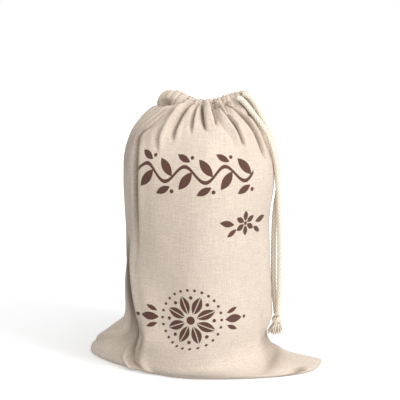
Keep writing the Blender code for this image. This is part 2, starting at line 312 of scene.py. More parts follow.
class Fold(NamedTuple):
    """One fold of the cloth along a path of turns and heights, from its top down to its foot.

    It is a trough of that depth and half width, or a ridge where depth is negative, full between two shares
    of its height. A lip stands up beside it, at the right where positive and at the left where negative, and
    leans over the trough by lean. The trough is steeper on the lip's side by skew.
    """

    path: tuple[tuple[float, float], ...]
    depth: float
    width: float
    full_from: float
    full_to: float
    lip: float = 0.0
    lean: float = 0.0
    skew: float = 0.35

    def place(self, turns: Array, heights: Array, girth: Array) -> tuple[Array, Array]:
        """Where points stand against the fold.

        Args:
            turns: Degrees around the bag.
            heights: Millimetres up the bag.
            girth: Millimetres around the bag at each height.

        Returns:
            The distance to the fold's line in half widths, positive at its right, and how full it is there.
        """
        line_turns, line_heights = np.array(self.path)[::-1].T
        low, high = line_heights[0], line_heights[-1]
        line = read_smoothly(np.clip(heights, low, high), line_heights, line_turns)
        share = (high - heights) / (high - low)
        aside = turns_away(turns, line) / FULL_TURN * girth
        full = smooth_step(share, 0.0, self.full_from) * (1.0 - smooth_step(share, self.full_to, 1.0))
        steep = 1.0 - self.skew * np.sign(aside) * np.sign(self.lip)
        return aside / (self.width * steep), full


@dataclass(frozen=True)
class Ear:
    """How a bottom corner spreads from its seam: full to the first turn, gone by the second, each way."""

    seam: float
    front: tuple[float, float]
    back: tuple[float, float]

    def spread(self, turns: Array) -> Array:
        """How much of the ear each turn takes, from 1 at its seam to 0."""
        away = turns_away(turns, self.seam)
        toward_front = away if self.seam else -away
        front = 1.0 - smooth_step(toward_front, *self.front)
        back = 1.0 - smooth_step(-toward_front, *self.back)
        return np.where(toward_front >= 0.0, front, back)


@dataclass(frozen=True)
class Shell:
    """The finished form: rows of points by height and turn, and what each row and column stands for."""

    turns: Array
    heights: Array
    outer: Array
    inner: Array
    normals: Array
    along: Array
    shade: Array


@dataclass
class BagForm:
    """The filled bag's wall, from the same tables as its solid, with the folds of real cloth."""

    back_columns: int = 170
    front_columns: int = 304
    dense: int = 1440
    axis_x: float = -3.0
    cloth: float = 1.5
    front_dip: float = 10.0
    front_dip_span: tuple[float, float] = (266.0, 289.0)
    front_lift: float = 7.0
    front_lift_turn: float = 262.0
    front_lift_reach: float = 45.0
    front_lift_height: float = 270.0
    front_lift_span: float = 10.0
    back_dip: float = 15.0
    back_dip_span: tuple[float, float] = (222.0, 280.0)
    # turn, reach in degrees, lift: where the mouth's edge stands higher or lower than its saddle
    rim_lifts: tuple[tuple[float, float, float], ...] = (
        (222.0, 30.0, 3.6),
        (180.0, 24.0, -3.4),
        (318.0, 26.0, 2.0),
        (0.0, 18.0, -1.5),
    )
    stitch_height: float = 270.0
    # turn, reach in degrees, rise: where the stitch line leaves its level
    stitch_shifts: tuple[tuple[float, float, float], ...] = (
        (203.0, 13.0, 7.0),
        (311.0, 8.0, 9.0),
        (340.0, 11.0, -7.0),
    )
    casing_puff: float = 2.9
    stitch_pull: float = 2.2
    stitch_span: float = 2.2
    gathers: int = 23
    gather_depth: float = 3.0
    gather_span: tuple[float, float] = (232.0, 272.0)
    # how many degrees the gathers fan out on their way down, about the middle of the front
    front_fan: float = 20.0
    back_fan: float = 9.0
    fan_centre: float = 262.0
    cavity_from: float = 11.0
    cavity_narrowing: float = 0.93
    floor: float = 1.5
    left_ear_aft: float = 10.0
    uv_girth: float = 494.0
    uv_height: float = 120.0
    # height, right, left, front, back, right ear, left ear
    sections: tuple[tuple[float, ...], ...] = (
        (0.0, 80.0, 85.0, 75.0, 74.0, 49.5, 36.0),
        (2.0, 80.0, 85.5, 77.0, 76.5, 50.0, 38.5),
        (4.0, 79.0, 85.5, 78.5, 78.0, 42.0, 38.5),
        (7.0, 77.0, 84.5, 79.5, 79.0, 25.0, 37.0),
        (11.0, 75.0, 84.0, 80.0, 79.5, 11.0, 34.5),
        (17.0, 72.0, 83.0, 80.0, 80.0, 3.5, 28.5),
        (24.0, 70.0, 82.0, 80.0, 80.0, 0.5, 20.0),
        (31.0, 70.0, 81.0, 80.0, 80.0, 0.0, 11.0),
        (39.0, 72.5, 80.5, 79.5, 80.0, 0.0, 3.5),
        (54.0, 75.0, 81.0, 79.5, 79.5, 0.0, 0.5),
        (78.0, 75.0, 81.5, 79.0, 79.0, 0.0, 0.0),
        (110.0, 73.5, 79.0, 78.5, 78.5, 0.0, 0.0),
        (140.0, 74.0, 79.5, 78.0, 78.0, 0.0, 0.0),
        (170.0, 75.5, 81.0, 77.0, 77.0, 0.0, 0.0),
        (195.0, 77.0, 82.0, 75.0, 74.5, 0.0, 0.0),
        (213.0, 76.0, 82.0, 71.0, 70.0, 0.0, 0.0),
        (227.0, 73.5, 80.5, 65.0, 63.0, 0.0, 0.0),
        (239.0, 70.5, 77.0, 57.0, 54.5, 0.0, 0.0),
        (249.0, 67.0, 71.5, 48.5, 46.0, 0.0, 0.0),
        (258.0, 62.5, 64.0, 39.5, 37.0, 0.0, 0.0),
        (265.5, 57.5, 54.5, 30.5, 28.5, 0.0, 0.0),
        (271.0, 53.5, 46.5, 24.0, 22.5, 0.0, 0.0),
        (277.0, 52.0, 43.5, 21.0, 20.0, 0.0, 0.0),
        (283.0, 50.0, 41.0, 19.0, 18.5, 0.0, 0.0),
        (289.0, 46.0, 36.0, 17.0, 16.5, 0.0, 0.0),
    )
    # bands of rows: up to this height, this far apart
    row_bands: tuple[tuple[float, float], ...] = (
        (12.0, 1.0), (40.0, 1.6), (200.0, 3.8), (240.0, 1.4), (289.0, 0.8),
    )
    # the inside's rows stand closer together down to a height inside the mouth
    inner_fine_to: float = 256.0
    inner_fine_step: float = 2.4
    inner_step: float = 24.0
    # between these heights the inside leaves the folds and draws in to this share of the wall's distance
    inner_span: tuple[float, float] = (205.0, 250.0)
    inner_share: float = 0.95
    # how many rows and columns away a fold still sinks the inside wall
    sunk_reach: tuple[int, int] = (8, 8)
    rim_rows: int = 5
    right_ear: Ear = Ear(0.0, (22.0, 90.0), (0.0, 14.0))
    left_ear: Ear = Ear(180.0, (12.0, 72.0), (10.0, 62.0))
    folds: tuple[Fold, ...] = (
        # front, from left to right, out of the drawn mouth
        Fold(
            (
                (234.0, 273.0), (229.0, 266.0), (224.0, 259.0), (218.5, 253.0), (213.5, 248.5),
                (211.5, 244.0), (213.5, 237.0), (217.0, 228.0), (220.0, 213.0), (221.0, 182.0),
                (220.0, 140.0),
            ),
            4.4, 2.2, 0.22, 0.60, -1.1, 0.9,
        ),
        Fold(
            ((241.0, 273.0), (240.2, 265.0), (238.0, 257.5), (237.6, 249.0), (240.0, 238.0), (243.0, 228.0)),
            5.5, 2.5, 0.15, 0.55, 2.0, 2.0,
        ),
        Fold(
            ((258.5, 273.0), (256.0, 266.0), (252.4, 261.0), (251.8, 254.0), (252.4, 247.0), (252.8, 240.0)),
            7.4, 2.3, 0.15, 0.55, 1.4, 1.6,
        ),
        Fold(
            ((266.4, 273.0), (267.8, 263.0), (268.3, 256.0), (269.0, 247.0)),
            5.6, 1.7, 0.15, 0.50, 1.0, 0.8,
        ),
        Fold(
            ((271.0, 275.0), (275.4, 267.0), (279.3, 261.5), (282.0, 256.0), (283.6, 250.0)),
            6.8, 1.9, 0.15, 0.60, 1.2, 1.2,
        ),
        Fold(
            ((280.0, 277.0), (284.2, 270.0), (287.7, 265.5), (291.6, 260.5), (294.6, 254.0)),
            7.8, 2.2, 0.15, 0.65, -1.4, 1.8,
        ),
        Fold(
            ((289.0, 279.0), (290.8, 274.0), (294.0, 269.5), (297.5, 264.0)),
            5.0, 1.9, 0.20, 0.50, 0.8, 0.8,
        ),
        Fold(
            (
                (295.0, 274.0), (298.5, 270.0), (303.6, 266.4), (308.8, 264.0), (313.4, 261.4),
                (316.8, 257.4), (318.6, 251.0), (319.2, 244.0), (319.0, 236.0),
            ),
            7.0, 1.5, 0.15, 0.70, 3.2, 2.6,
        ),
        Fold(
            (
                (305.0, 281.0), (309.0, 278.4), (313.4, 275.6), (319.0, 272.2), (325.0, 268.4),
                (330.2, 264.2), (333.4, 258.2), (335.2, 250.0), (336.2, 240.0), (337.2, 229.0),
                (338.4, 217.0),
            ),
            7.0, 1.6, 0.12, 0.62, 2.8, 2.6,
        ),
        Fold(
            (
                (325.0, 287.0), (330.5, 283.5), (336.4, 279.0), (340.6, 273.0), (342.6, 265.0),
                (344.4, 256.0), (347.0, 246.0), (350.0, 235.0), (352.3, 221.0), (353.0, 205.0),
            ),
            5.0, 3.0, 0.15, 0.60, 1.0, 1.6,
        ),
        Fold(((285.7, 266.0), (286.9, 250.0), (286.6, 236.0), (285.0, 218.0)), -1.5, 8.0, 0.30, 0.60),
        # left side: the roll beside the seam, then the valley that opens towards the ear, with a fold in it
        Fold(
            (
                (210.5, 252.0), (213.5, 240.0), (217.5, 230.0), (221.6, 213.0), (223.0, 182.0),
                (221.0, 130.0), (220.0, 100.0),
            ),
            9.5, 3.3, 0.20, 0.60,
        ),
        Fold(
            (
                (205.0, 142.0), (208.5, 116.0), (215.5, 95.0), (222.0, 72.0), (225.5, 51.0),
                (231.0, 31.0), (237.0, 14.0), (240.0, 1.0),
            ),
            12.0, 4.6, 0.30, 0.97, 3.0, 3.5, 0.30,
        ),
        Fold(
            (
                (219.0, 142.0), (222.0, 116.0), (228.0, 95.0), (235.0, 72.0), (239.0, 51.0),
                (244.0, 31.0), (250.0, 12.0),
            ),
            -3.0, 13.0, 0.40, 0.80,
        ),
        Fold(
            ((226.5, 66.0), (225.0, 50.0), (228.0, 28.0), (231.0, 13.0), (234.0, 1.0)),
            -4.0, 3.6, 0.35, 0.95,
        ),
        Fold(
            ((226.0, 74.0), (230.5, 52.0), (239.0, 27.0), (242.5, 12.0), (243.5, 1.0)),
            4.0, 3.6, 0.50, 0.95, 1.0, 1.2,
        ),
        Fold(
            ((207.0, 33.0), (202.0, 27.0), (193.6, 20.0), (185.0, 12.0), (176.0, 5.0)),
            3.0, 7.0, 0.25, 0.80, -1.0, 1.0,
        ),
        Fold(((204.0, 70.0), (204.5, 52.0), (206.0, 38.0), (208.0, 27.0)), 3.4, 6.0, 0.40, 0.80, -1.0, 1.0),
        # right ear: a soft crease across its corner, and its drawn-in lower edge
        Fold(
            ((352.0, 15.0), (348.0, 12.4), (334.0, 9.6), (322.0, 6.6), (312.0, 3.6)),
            3.4, 17.0, 0.25, 0.75, 0.9, 1.5, 0.45,
        ),
        Fold(
            ((334.0, 80.0), (338.0, 58.0), (345.0, 38.0), (352.0, 24.0), (356.0, 14.0)),
            2.6, 10.0, 0.50, 0.80,
        ),
        # casing, by the cord
        Fold(((338.0, 289.0), (342.0, 285.0), (348.0, 281.0)), 2.4, 1.6, 0.20, 0.70, 0.6, 0.4),
        # back and right side, out of the drawn mouth
        Fold(((16.0, 280.0), (14.0, 254.0), (10.0, 228.0)), 4.0, 4.0, 0.20, 0.50, 0.8, 0.4),
        Fold(((38.0, 277.0), (31.0, 257.0), (27.0, 238.0)), 4.6, 3.8, 0.20, 0.50, 1.0, 0.8),
        Fold(((58.0, 276.0), (52.0, 244.0), (50.0, 212.0)), 4.4, 3.8, 0.15, 0.40, 1.4, 1.0),
        Fold(((74.0, 276.0), (72.0, 263.0), (73.0, 250.0)), 3.6, 2.6, 0.20, 0.60, 0.8, 0.4),
        Fold(((88.0, 276.0), (90.0, 249.0), (87.0, 222.0)), 4.6, 3.2, 0.15, 0.50, 1.2, 0.9),
        Fold(((105.0, 276.0), (108.0, 260.0), (112.0, 244.0)), 3.8, 2.8, 0.20, 0.60, -0.8, 0.4),
        Fold(((122.0, 276.0), (128.0, 240.0), (130.0, 205.0)), 4.8, 3.6, 0.15, 0.50, -1.4, 1.0),
        Fold(((143.0, 278.0), (150.0, 257.0), (152.0, 236.0)), 4.4, 3.4, 0.20, 0.50, -1.0, 0.6),
        Fold(((163.0, 280.0), (165.0, 251.0), (169.0, 222.0)), 4.2, 4.0, 0.20, 0.50, 0.8, 0.4),
        Fold(((152.0, 150.0), (146.0, 77.0), (138.0, 4.0)), 5.0, 11.0, 0.40, 0.85),
        Fold(((20.0, 96.0), (26.0, 50.0), (36.0, 4.0)), 3.5, 9.0, 0.40, 0.85),
    )
    fold_shoulder: float = 0.22
    # in half widths from a fold's line: the middle and the reach of its shoulders, of its lip and of its lean
    shoulder_place: tuple[float, float] = (2.6, 1.7)
    lip_place: tuple[float, float] = (1.9, 1.3)
    lean_place: tuple[float, float] = (1.5, 1.2)
    shoulder_limit: float = 7.0
    trough_sharpness: float = 1.3
    # turn and height of the middle, reach in degrees and in millimetres, depth: where the cloth is drawn in
    dents: tuple[tuple[float, ...], ...] = (
        (207.0, 275.0, 12.0, 3.0, 7.0),
        (262.0, 268.5, 16.0, 3.0, 1.6),
        (350.0, 155.0, 34.0, 26.0, 2.6),
    )
    # painted shade, where little light comes: laid out as folds, with their depth as the share of shade painted
    # in
    painted_shade_hollows: tuple[Fold, ...] = (
        Fold(
            (
                (198.0, 156.0), (204.5, 118.0), (211.5, 95.0), (218.0, 72.0), (222.0, 51.0),
                (225.0, 31.0), (230.0, 14.0), (235.0, 3.0),
            ),
            0.92, 16.0, 0.38, 0.50, 1.0, 0.0, 0.60,
        ),
        Fold(
            ((213.0, 246.0), (219.0, 232.0), (222.5, 213.0), (223.5, 182.0), (222.0, 130.0)),
            0.26, 6.0, 0.25, 0.55,
        ),
        Fold(
            ((227.0, 72.0), (231.0, 52.0), (237.0, 30.0), (242.0, 12.0), (244.0, 3.0)),
            0.20, 7.0, 0.30, 0.90,
        ),
        Fold(
            ((359.0, 34.0), (357.0, 22.0), (350.0, 13.0), (340.0, 8.0), (332.0, 5.0)),
            0.34, 22.0, 0.30, 0.80,
        ),
        Fold(((209.0, 262.0), (204.0, 245.0), (200.0, 225.0), (197.0, 190.0)), 0.30, 13.0, 0.30, 0.60),
        Fold(((339.0, 4.4), (335.0, 3.2), (326.0, 1.6), (314.0, 0.1)), 0.70, 8.0, 0.15, 0.90),
    )
    # how much painted shade a deep fold takes in its trough
    fold_shade: float = 0.60
    # a fold's depth over the limit of its shoulders, at which its painted shade starts, and the most that counts
    shade_from: float = 0.3
    shade_most: float = 0.7
    painted_shade_sharpness: float = 4.0
    soft_waves: Waves = Waves(11, 12, (3, 9), (-0.02, 0.02))
    soft_depth: float = 1.3
    cross_waves: Waves = Waves(23, 10, (2, 7), (0.10, 0.22))
    cross_depth: float = 0.6
    fold_unevenness: Waves = Waves(37, 9, (5, 17), (-0.03, 0.03))
    ruffle_unevenness: Waves = Waves(41, 12, (24, 47), (-0.06, 0.06))
    ruffles: int = 47
    ruffle_depth: float = 1.1
    ruffle_lift: float = 0.9
    lobe_turn: float = 226.0
    lobe_reach: float = 28.0
    seam_groove: float = 0.8
    seam_welt: float = 0.5
    seam_half: float = 1.3
    welt_place: tuple[float, float] = (1.8, 0.9)

    def heights(self) -> Array:
        """The heights of the outer rows, closer together where the cloth is finely folded."""
        rows = [np.zeros(1)]
        low = 0.0
        for high, step in self.row_bands:
            count = round((high - low) / step)
            rows.append(np.linspace(low, high, count + 1)[1:])
            low = high
        return np.concatenate(rows)

    def column_turns(self) -> Array:
        """The turn of each column: those of the front panel stand closer together."""
        back = np.linspace(0.0, HALF_TURN, self.back_columns, endpoint=False)
        front = np.linspace(HALF_TURN, FULL_TURN, self.front_columns, endpoint=False)
        return np.concatenate([back, front])

    def plan(self, row: Array) -> Array:
        """One level line of the wall, as points an equal share of its length apart around each panel.

        The line is x = axis + side * cos(t), y = deep * sin(t), with the ears added at their seams.

        Args:
            row: One row of the sections.

        Returns:
            One row of x and y a column.
        """
        _, right, left, front, back, right_ear, left_ear = row
        turns = np.linspace(0.0, FULL_TURN, self.dense + 1)
        angle = np.radians(turns)
        x = self.axis_x + np.where(np.cos(angle) > 0.0, right, left) * np.cos(angle)
        y = np.where(np.sin(angle) > 0.0, back, front) * np.sin(angle)
        left_spread = self.left_ear.spread(turns)
        x = x + right_ear * self.right_ear.spread(turns) - left_ear * left_spread
        y = y + self.left_ear_aft * left_spread * left_ear / self.sections[0][-1]
        length = lengths_along(np.stack([x, y], axis=1))
        seam = length[self.dense // 2]
        back_places = np.linspace(0.0, seam, self.back_columns, endpoint=False)
        front_places = np.linspace(seam, length[-1], self.front_columns, endpoint=False)
        places = np.concatenate([back_places, front_places])
        return np.stack([np.interp(places, length, x), np.interp(places, length, y)], axis=1)

    def around(self, grid: Array) -> Array:
        """The direction of rising turn at each point of a grid whose rows close."""
        return unit(np.roll(grid, -1, axis=1) - np.roll(grid, 1, axis=1))

    def outward(self, grid: Array) -> Array:
        """The outward direction at each point of a grid whose rows close."""
        return unit(np.cross(self.around(grid), np.gradient(grid, axis=0)))

    def drawn_in(self, smooth: Array, rows: Array) -> Array:
        """The smooth wall without its ears, drawn in towards its axis.

        Each point is at inner_share * (x, y) from the axis, where x is first held within the body's sides.

        Args:
            smooth: The wall's points without relief.
            rows: The rows of the sections that they come from.

        Returns:
            The same grid of points, drawn in.
        """
        right, left = rows[:, 1:2], rows[:, 2:3]
        inside = smooth.copy()
        across = np.clip(smooth[:, :, 0] - self.axis_x, -left, right)
        inside[:, :, 0] = self.axis_x + self.inner_share * across
        inside[:, :, 1] *= self.inner_share
        return inside

    def sunk(self, out: Array) -> Array:
        """How deep the folds go near each point: the least relief among its neighbours, and at most 0.

        Args:
            out: How far each point stands out of the smooth wall, in millimetres.

        Returns:
            The deepest relief around each point, in millimetres.
        """
        deepest = np.minimum(out, 0.0)
        for axis, reach in enumerate(self.sunk_reach):
            shifts = range(-reach, reach + 1)
            deepest = np.min([np.roll(deepest, shift, axis=axis) for shift in shifts], axis=0)
        return deepest

    def stitch_line(self, turns: Array) -> Array:
        """The height of the casing's stitches at each turn."""
        height = np.full(np.shape(turns), self.stitch_height)
        for centre, reach, rise in self.stitch_shifts:
            height = height + rise * bell(turns_away(turns, centre) / reach)
        return height

    def gathered(self, turns: Array, heights: Array) -> Array:
        """The gathers of the drawn mouth: round ridges, cusped valleys, 2|cos(p/2)|^0.8 - 1 of their phase p.

        Args:
            turns: Degrees around the bag.
            heights: Millimetres up the bag.

        Returns:
            How far the cloth stands out, in millimetres.
        """
        down = 1.0 - smooth_step(heights, 240.0, 276.0)
        fan = np.where(np.sin(np.radians(turns)) > 0.0, self.back_fan, self.front_fan)
        turns = turns - fan * np.sin(np.radians(2.0 * (turns - self.fan_centre))) * down
        wander = 0.35 * np.sin(np.radians(3.0 * turns + 40.0)) + 0.3 * np.sin(np.radians(5.0 * turns))
        phase = np.radians(self.gathers * turns) + wander * 3.0
        ridge = 2.0 * np.abs(np.cos(phase / 2.0)) ** 0.8 - 1.0
        uneven = self.fold_unevenness(turns, heights)
        start = self.gather_span[0] + 9.0 * uneven
        share = np.clip((heights - start) / (self.gather_span[1] - start), 0.0, 1.0)
        above = 1.0 - 0.7 * smooth_step(heights, 269.0, 276.0)
        return self.gather_depth * (1.0 + 0.35 * uneven) * ridge * share**1.4 * above

    def ruffled(self, turns: Array, heights: Array) -> Array:
        """The fine uneven pleats of the casing, from the stitch line to the rim, between -1 and 1."""
        phase = np.radians(self.ruffles * turns) + 1.6 * self.ruffle_unevenness(turns, heights)
        ridge = 2.0 * np.abs(np.cos(phase / 2.0)) ** 0.9 - 1.0
        smooth_lobe = 1.0 - 0.8 * bell((turns - self.lobe_turn) / self.lobe_reach, 4.0)
        return (0.7 * ridge + 0.5 * self.ruffle_unevenness(turns + 7.0, heights)) * smooth_lobe

    def relief(self, turns: Array, heights: Array, girth: Array) -> tuple[Array, Array]:
        """How far each point stands out of the smooth wall, and how far it is pushed round it.

        Args:
            turns: Degrees around the bag.
            heights: Millimetres up the bag.
            girth: Millimetres around the bag at each height.

        Returns:
            Millimetres outward, and millimetres towards rising turn.
        """
        top = self.sections[-1][0]
        stitch = self.stitch_line(turns)
        casing = np.clip((heights - stitch) / (top - stitch), 0.0, 1.0)
        out = self.casing_puff * np.sin(math.pi * casing) ** 0.7
        out = out - self.stitch_pull * bell((heights - stitch) / self.stitch_span)
        out = out + self.gathered(turns, heights)
        out = out + self.ruffle_depth * self.ruffled(turns, heights) * smooth_step(heights, 262.0, 276.0)
        push = np.zeros_like(out)
        for fold in self.folds:
            beside, full = fold.place(turns, heights, girth)
            trough = bell(beside, self.trough_sharpness if fold.depth > 0.0 else 2.0)
            shoulders = self.fold_shoulder * bell_at(np.abs(beside), self.shoulder_place)
            out = out - full * (fold.depth * trough - min(fold.depth, self.shoulder_limit) * shoulders)
            side = math.copysign(1.0, fold.lip)
            out = out + abs(fold.lip) * full * bell_at(beside * side, self.lip_place)
            push = push - fold.lean * side * full * bell_at(beside * side, self.lean_place)
        for centre, middle, reach, span, depth in self.dents:
            aside = turns_away(turns, centre) / reach
            out = out - depth * bell(aside) * bell((heights - middle) / span)
        body = smooth_step(heights, 8.0, 40.0) * (1.0 - smooth_step(heights, 225.0, 262.0))
        out = out + self.soft_depth * self.soft_waves(turns, heights) * body
        low = smooth_step(heights, 4.0, 12.0) * (1.0 - smooth_step(heights, 40.0, 90.0))
        out = out + self.cross_depth * self.cross_waves(turns, heights) * low
        for seam in (0.0, HALF_TURN):
            aside = turns_away(turns, seam) / FULL_TURN * girth / self.seam_half
            out = out - self.seam_groove * bell(aside) + self.seam_welt * bell_at(np.abs(aside), self.welt_place)
        return out, push

    def shade(self, turns: Array, heights: Array, girth: Array) -> Array:
        """How much painted shade each point takes, down in the folds and in the wide recesses where little light
        comes.

        Args:
            turns: Degrees around the bag.
            heights: Millimetres up the bag.
            girth: Millimetres around the bag at each height.

        Returns:
            The share of the painted shade colour, from 0 to 1.
        """
        lost = np.zeros_like(turns)
        for fold in self.folds:
            beside, full = fold.place(turns, heights, girth)
            deep = np.clip(fold.depth / self.shoulder_limit - self.shade_from, 0.0, self.shade_most)
            lost = lost + self.fold_shade * deep * full * bell(beside, self.trough_sharpness)
        for hollow in self.painted_shade_hollows:
            beside, full = hollow.place(turns, heights, girth)
            lost = lost + hollow.depth * full * bell(beside, self.painted_shade_sharpness)
        return np.clip(lost, 0.0, 1.0)

    def shell(self) -> Shell:
        """Work out the whole form.

        Returns:
            Its outer rows from the foot up, its inner rows from the rim down, and what they stand for.
        """
        table = np.array(self.sections)
        heights = self.heights()
        columns = [read_smoothly(heights, table[:, 0], column) for column in table.T]
        rows = np.stack(columns, axis=1)
        plan = np.array([self.plan(row) for row in rows])
        turns = np.tile(self.column_turns(), (len(heights), 1))
        tall = np.tile(heights[:, None], (1, turns.shape[1]))
        across = np.sin(np.radians(turns))
        front_dip = self.front_dip * smooth_step(tall, *self.front_dip_span)
        back_dip = self.back_dip * smooth_step(tall, *self.back_dip_span)
        drop = np.where(across > 0.0, back_dip, front_dip) * across**2
        for centre, reach, lift in self.rim_lifts:
            aside = turns_away(turns, centre)
            drop = drop - lift * bell(aside / reach) * smooth_step(tall, 268.0, 289.0)
        front = bell((turns - self.front_lift_turn) / self.front_lift_reach, 4.0)
        drop = drop - self.front_lift * front * bell((tall - self.front_lift_height) / self.front_lift_span)
        smooth = np.stack([plan[:, :, 0], plan[:, :, 1], tall - drop], axis=2)
        girth = np.linalg.norm(np.roll(smooth, -1, axis=1) - smooth, axis=2).sum(axis=1, keepdims=True)
        out, push = self.relief(turns, tall, girth)
        outer = smooth + self.outward(smooth) * out[:, :, None] + self.around(smooth) * push[:, :, None]
        outer[:, :, 2] += self.ruffle_lift * self.ruffled(turns, tall) * smooth_step(tall, 276.0, 289.0)
        outer[0, :, 2] = 0.0
        outer[:, :, 2] = np.maximum(outer[:, :, 2], 0.0)
        normals = self.outward(outer)
        mouth = np.arange(heights[-1], self.inner_fine_to, -self.inner_fine_step)
        deeper = np.arange(self.inner_fine_to, self.cavity_from - 0.1, -self.inner_step)
        inner_heights = np.append(mouth, deeper)
        picks = np.unique(np.searchsorted(heights, inner_heights - 1e-6))[::-1]
        picks = picks[picks < len(heights)]
        near = outer - normals * self.cloth
        deep = 1.0 - smooth_step(tall, *self.inner_span)
        cleared = self.drawn_in(smooth, rows) + self.outward(smooth) * self.sunk(out)[:, :, None]
        inner = (near + (cleared - near) * deep[:, :, None])[picks]
        step = np.linalg.norm(np.diff(smooth, axis=0), axis=2)
        along = np.concatenate([np.zeros((1, turns.shape[1])), np.cumsum(step, axis=0)])
        level = np.argmin(np.abs(heights - self.uv_height))
        along = along - along[level] + heights[level]
        return Shell(turns, heights, outer, inner, normals, along, self.shade(turns, tall, girth))


# Node trees


class Field:
    """A number that a node tree works out at each point, with the usual arithmetic."""

    def __init__(self, tree: bpy.types.NodeTree, socket: bpy.types.NodeSocket) -> None:
        """Hold one output socket of a tree."""
        self.tree = tree
        self.socket = socket

    def math(self, operation: str, *others: "Field | float") -> "Field":
        """One Math node on this number and the others.

        Args:
            operation: The node's operation.
            *others: Its second and third values.

        Returns:
            What the node puts out.
        """
        node = self.tree.nodes.new("ShaderNodeMath")
        node.operation = operation
        for socket, value in zip(node.inputs, (self, *others)):
            if isinstance(value, Field):
                self.tree.links.new(value.socket, socket)
            else:
                socket.default_value = value
        return Field(self.tree, node.outputs[0])

    def __add__(self, other: "Field | float") -> "Field":
        """The sum."""
        return self.math("ADD", other)

    def __sub__(self, other: "Field | float") -> "Field":
        """The difference."""
        return self.math("SUBTRACT", other)

    def __mul__(self, other: "Field | float") -> "Field":
        """The product."""
        return self.math("MULTIPLY", other)

    def __neg__(self) -> "Field":
        """The opposite number."""
        return self.math("MULTIPLY", -1.0)

    def __abs__(self) -> "Field":
        """The size without the sign."""
        return self.math("ABSOLUTE")

    def either(self, other: "Field | float") -> "Field":
        """The larger of two numbers: the union of two shapes."""
        return self.math("MAXIMUM", other)

    def both(self, other: "Field | float") -> "Field":
        """The smaller of two numbers: what two shapes share."""
        return self.math("MINIMUM", other)

    def step(self, start: float, end: float, low: float = 0.0, high: float = 1.0) -> "Field":
        """A smooth rise from low at start to high at end."""
        node = self.tree.nodes.new("ShaderNodeMapRange")
        node.interpolation_type = "SMOOTHSTEP"
        self.tree.links.new(self.socket, node.inputs["Value"])
        values = {"From Min": start, "From Max": end, "To Min": low, "To Max": high}
        for name, value in values.items():
            node.inputs[name].default_value = value
        return Field(self.tree, node.outputs["Result"])


class Spot(NamedTuple):
    """A place on the cloth, in millimetres from some centre."""

    x: Field
    y: Field

    def moved(self, x: float, y: float) -> "Spot":
        """The same place from another centre."""
        return Spot(self.x - x, self.y - y)

    def turned(self, degrees: float) -> "Spot":
        """The same place on axes turned anticlockwise by so many degrees."""
        cosine, sine = math.cos(math.radians(degrees)), math.sin(math.radians(degrees))
        return Spot(self.x * cosine + self.y * sine, self.y * cosine - self.x * sine)

    def sector(self, count: int, degrees: float = 0.0) -> "Spot":
        """The place folded into one of count equal sectors, with x along the sector's middle.

        The angle becomes mod(angle + half, width) - half, for sectors of that width.
        """
        turned = self.turned(degrees)
        radius = (turned.x * turned.x + turned.y * turned.y).math("SQRT")
        width = 2.0 * math.pi / count
        angle = turned.y.math("ARCTAN2", turned.x).math("WRAP", width / 2.0, -width / 2.0)
        return Spot(radius * angle.math("COSINE"), radius * angle.math("SINE"))

    def leaf(self, half_length: float, half_width: float) -> Field:
        """A pointed leaf along x: half_width * (1 - (x / half_length)^2) - |y|, positive inside."""
        share = self.x * (1.0 / half_length)
        return (share * share) * -half_width + half_width - abs(self.y)

    def disc(self, radius: float) -> Field:
        """A round dot: radius minus the distance, positive inside."""
        distance = (self.x * self.x + self.y * self.y).math("SQRT")
        return -distance + radius


def new_group(name: str, inputs: dict[str, str], outputs: dict[str, str]) -> bpy.types.NodeTree:
    """An empty shader node group with its sockets.

    Args:
        name: The group's name.
        inputs: Socket types by name.
        outputs: Socket types by name.

    Returns:
        The group, holding its input and output nodes.
    """
    group = bpy.data.node_groups.new(name, "ShaderNodeTree")
    for in_out, sockets in (("INPUT", inputs), ("OUTPUT", outputs)):
        for label, kind in sockets.items():
            group.interface.new_socket(label, in_out=in_out, socket_type=kind)
    group.nodes.new("NodeGroupInput")
    group.nodes.new("NodeGroupOutput")
    return group


def entry(group: bpy.types.NodeTree, name: str) -> bpy.types.NodeSocket:
    """A group's own input, seen from inside."""
    return next(node for node in group.nodes if node.type == "GROUP_INPUT").outputs[name]


def leave(group: bpy.types.NodeTree, name: str, result: Field) -> None:
    """Put a result out of a group."""
    out = next(node for node in group.nodes if node.type == "GROUP_OUTPUT")
    group.links.new(result.socket, out.inputs[name])


def noise(
    tree: bpy.types.NodeTree, spot: tuple[Field, Field], scale: tuple[float, float], detail: float
) -> Field:
    """Smooth noise of a place, stretched by a scale each way.

    Args:
        tree: The tree it stands in.
        spot: The place's two coordinates.
        scale: Features a millimetre, each way.
        detail: How many finer layers it has.

    Returns:
        Values about one half.
    """
    join = tree.nodes.new("ShaderNodeCombineXYZ")
    for socket, value, factor in zip(join.inputs, spot, scale):
        tree.links.new((value * factor).socket, socket)
    node = tree.nodes.new("ShaderNodeTexNoise")
    node.inputs["Scale"].default_value = 1.0
    node.inputs["Detail"].default_value = detail
    node.inputs["Roughness"].default_value = 0.6
    tree.links.new(join.outputs["Vector"], node.inputs["Vector"])
    return Field(tree, node.outputs["Fac"])


def split_mm(tree: bpy.types.NodeTree, vector: bpy.types.NodeSocket) -> Spot:
    """The two cloth coordinates of a vector in metres, as millimetres."""
    node = tree.nodes.new("ShaderNodeSeparateXYZ")
    tree.links.new(vector, node.inputs["Vector"])
    return Spot(Field(tree, node.outputs["X"]) * (1.0 / MM), Field(tree, node.outputs["Y"]) * (1.0 / MM))


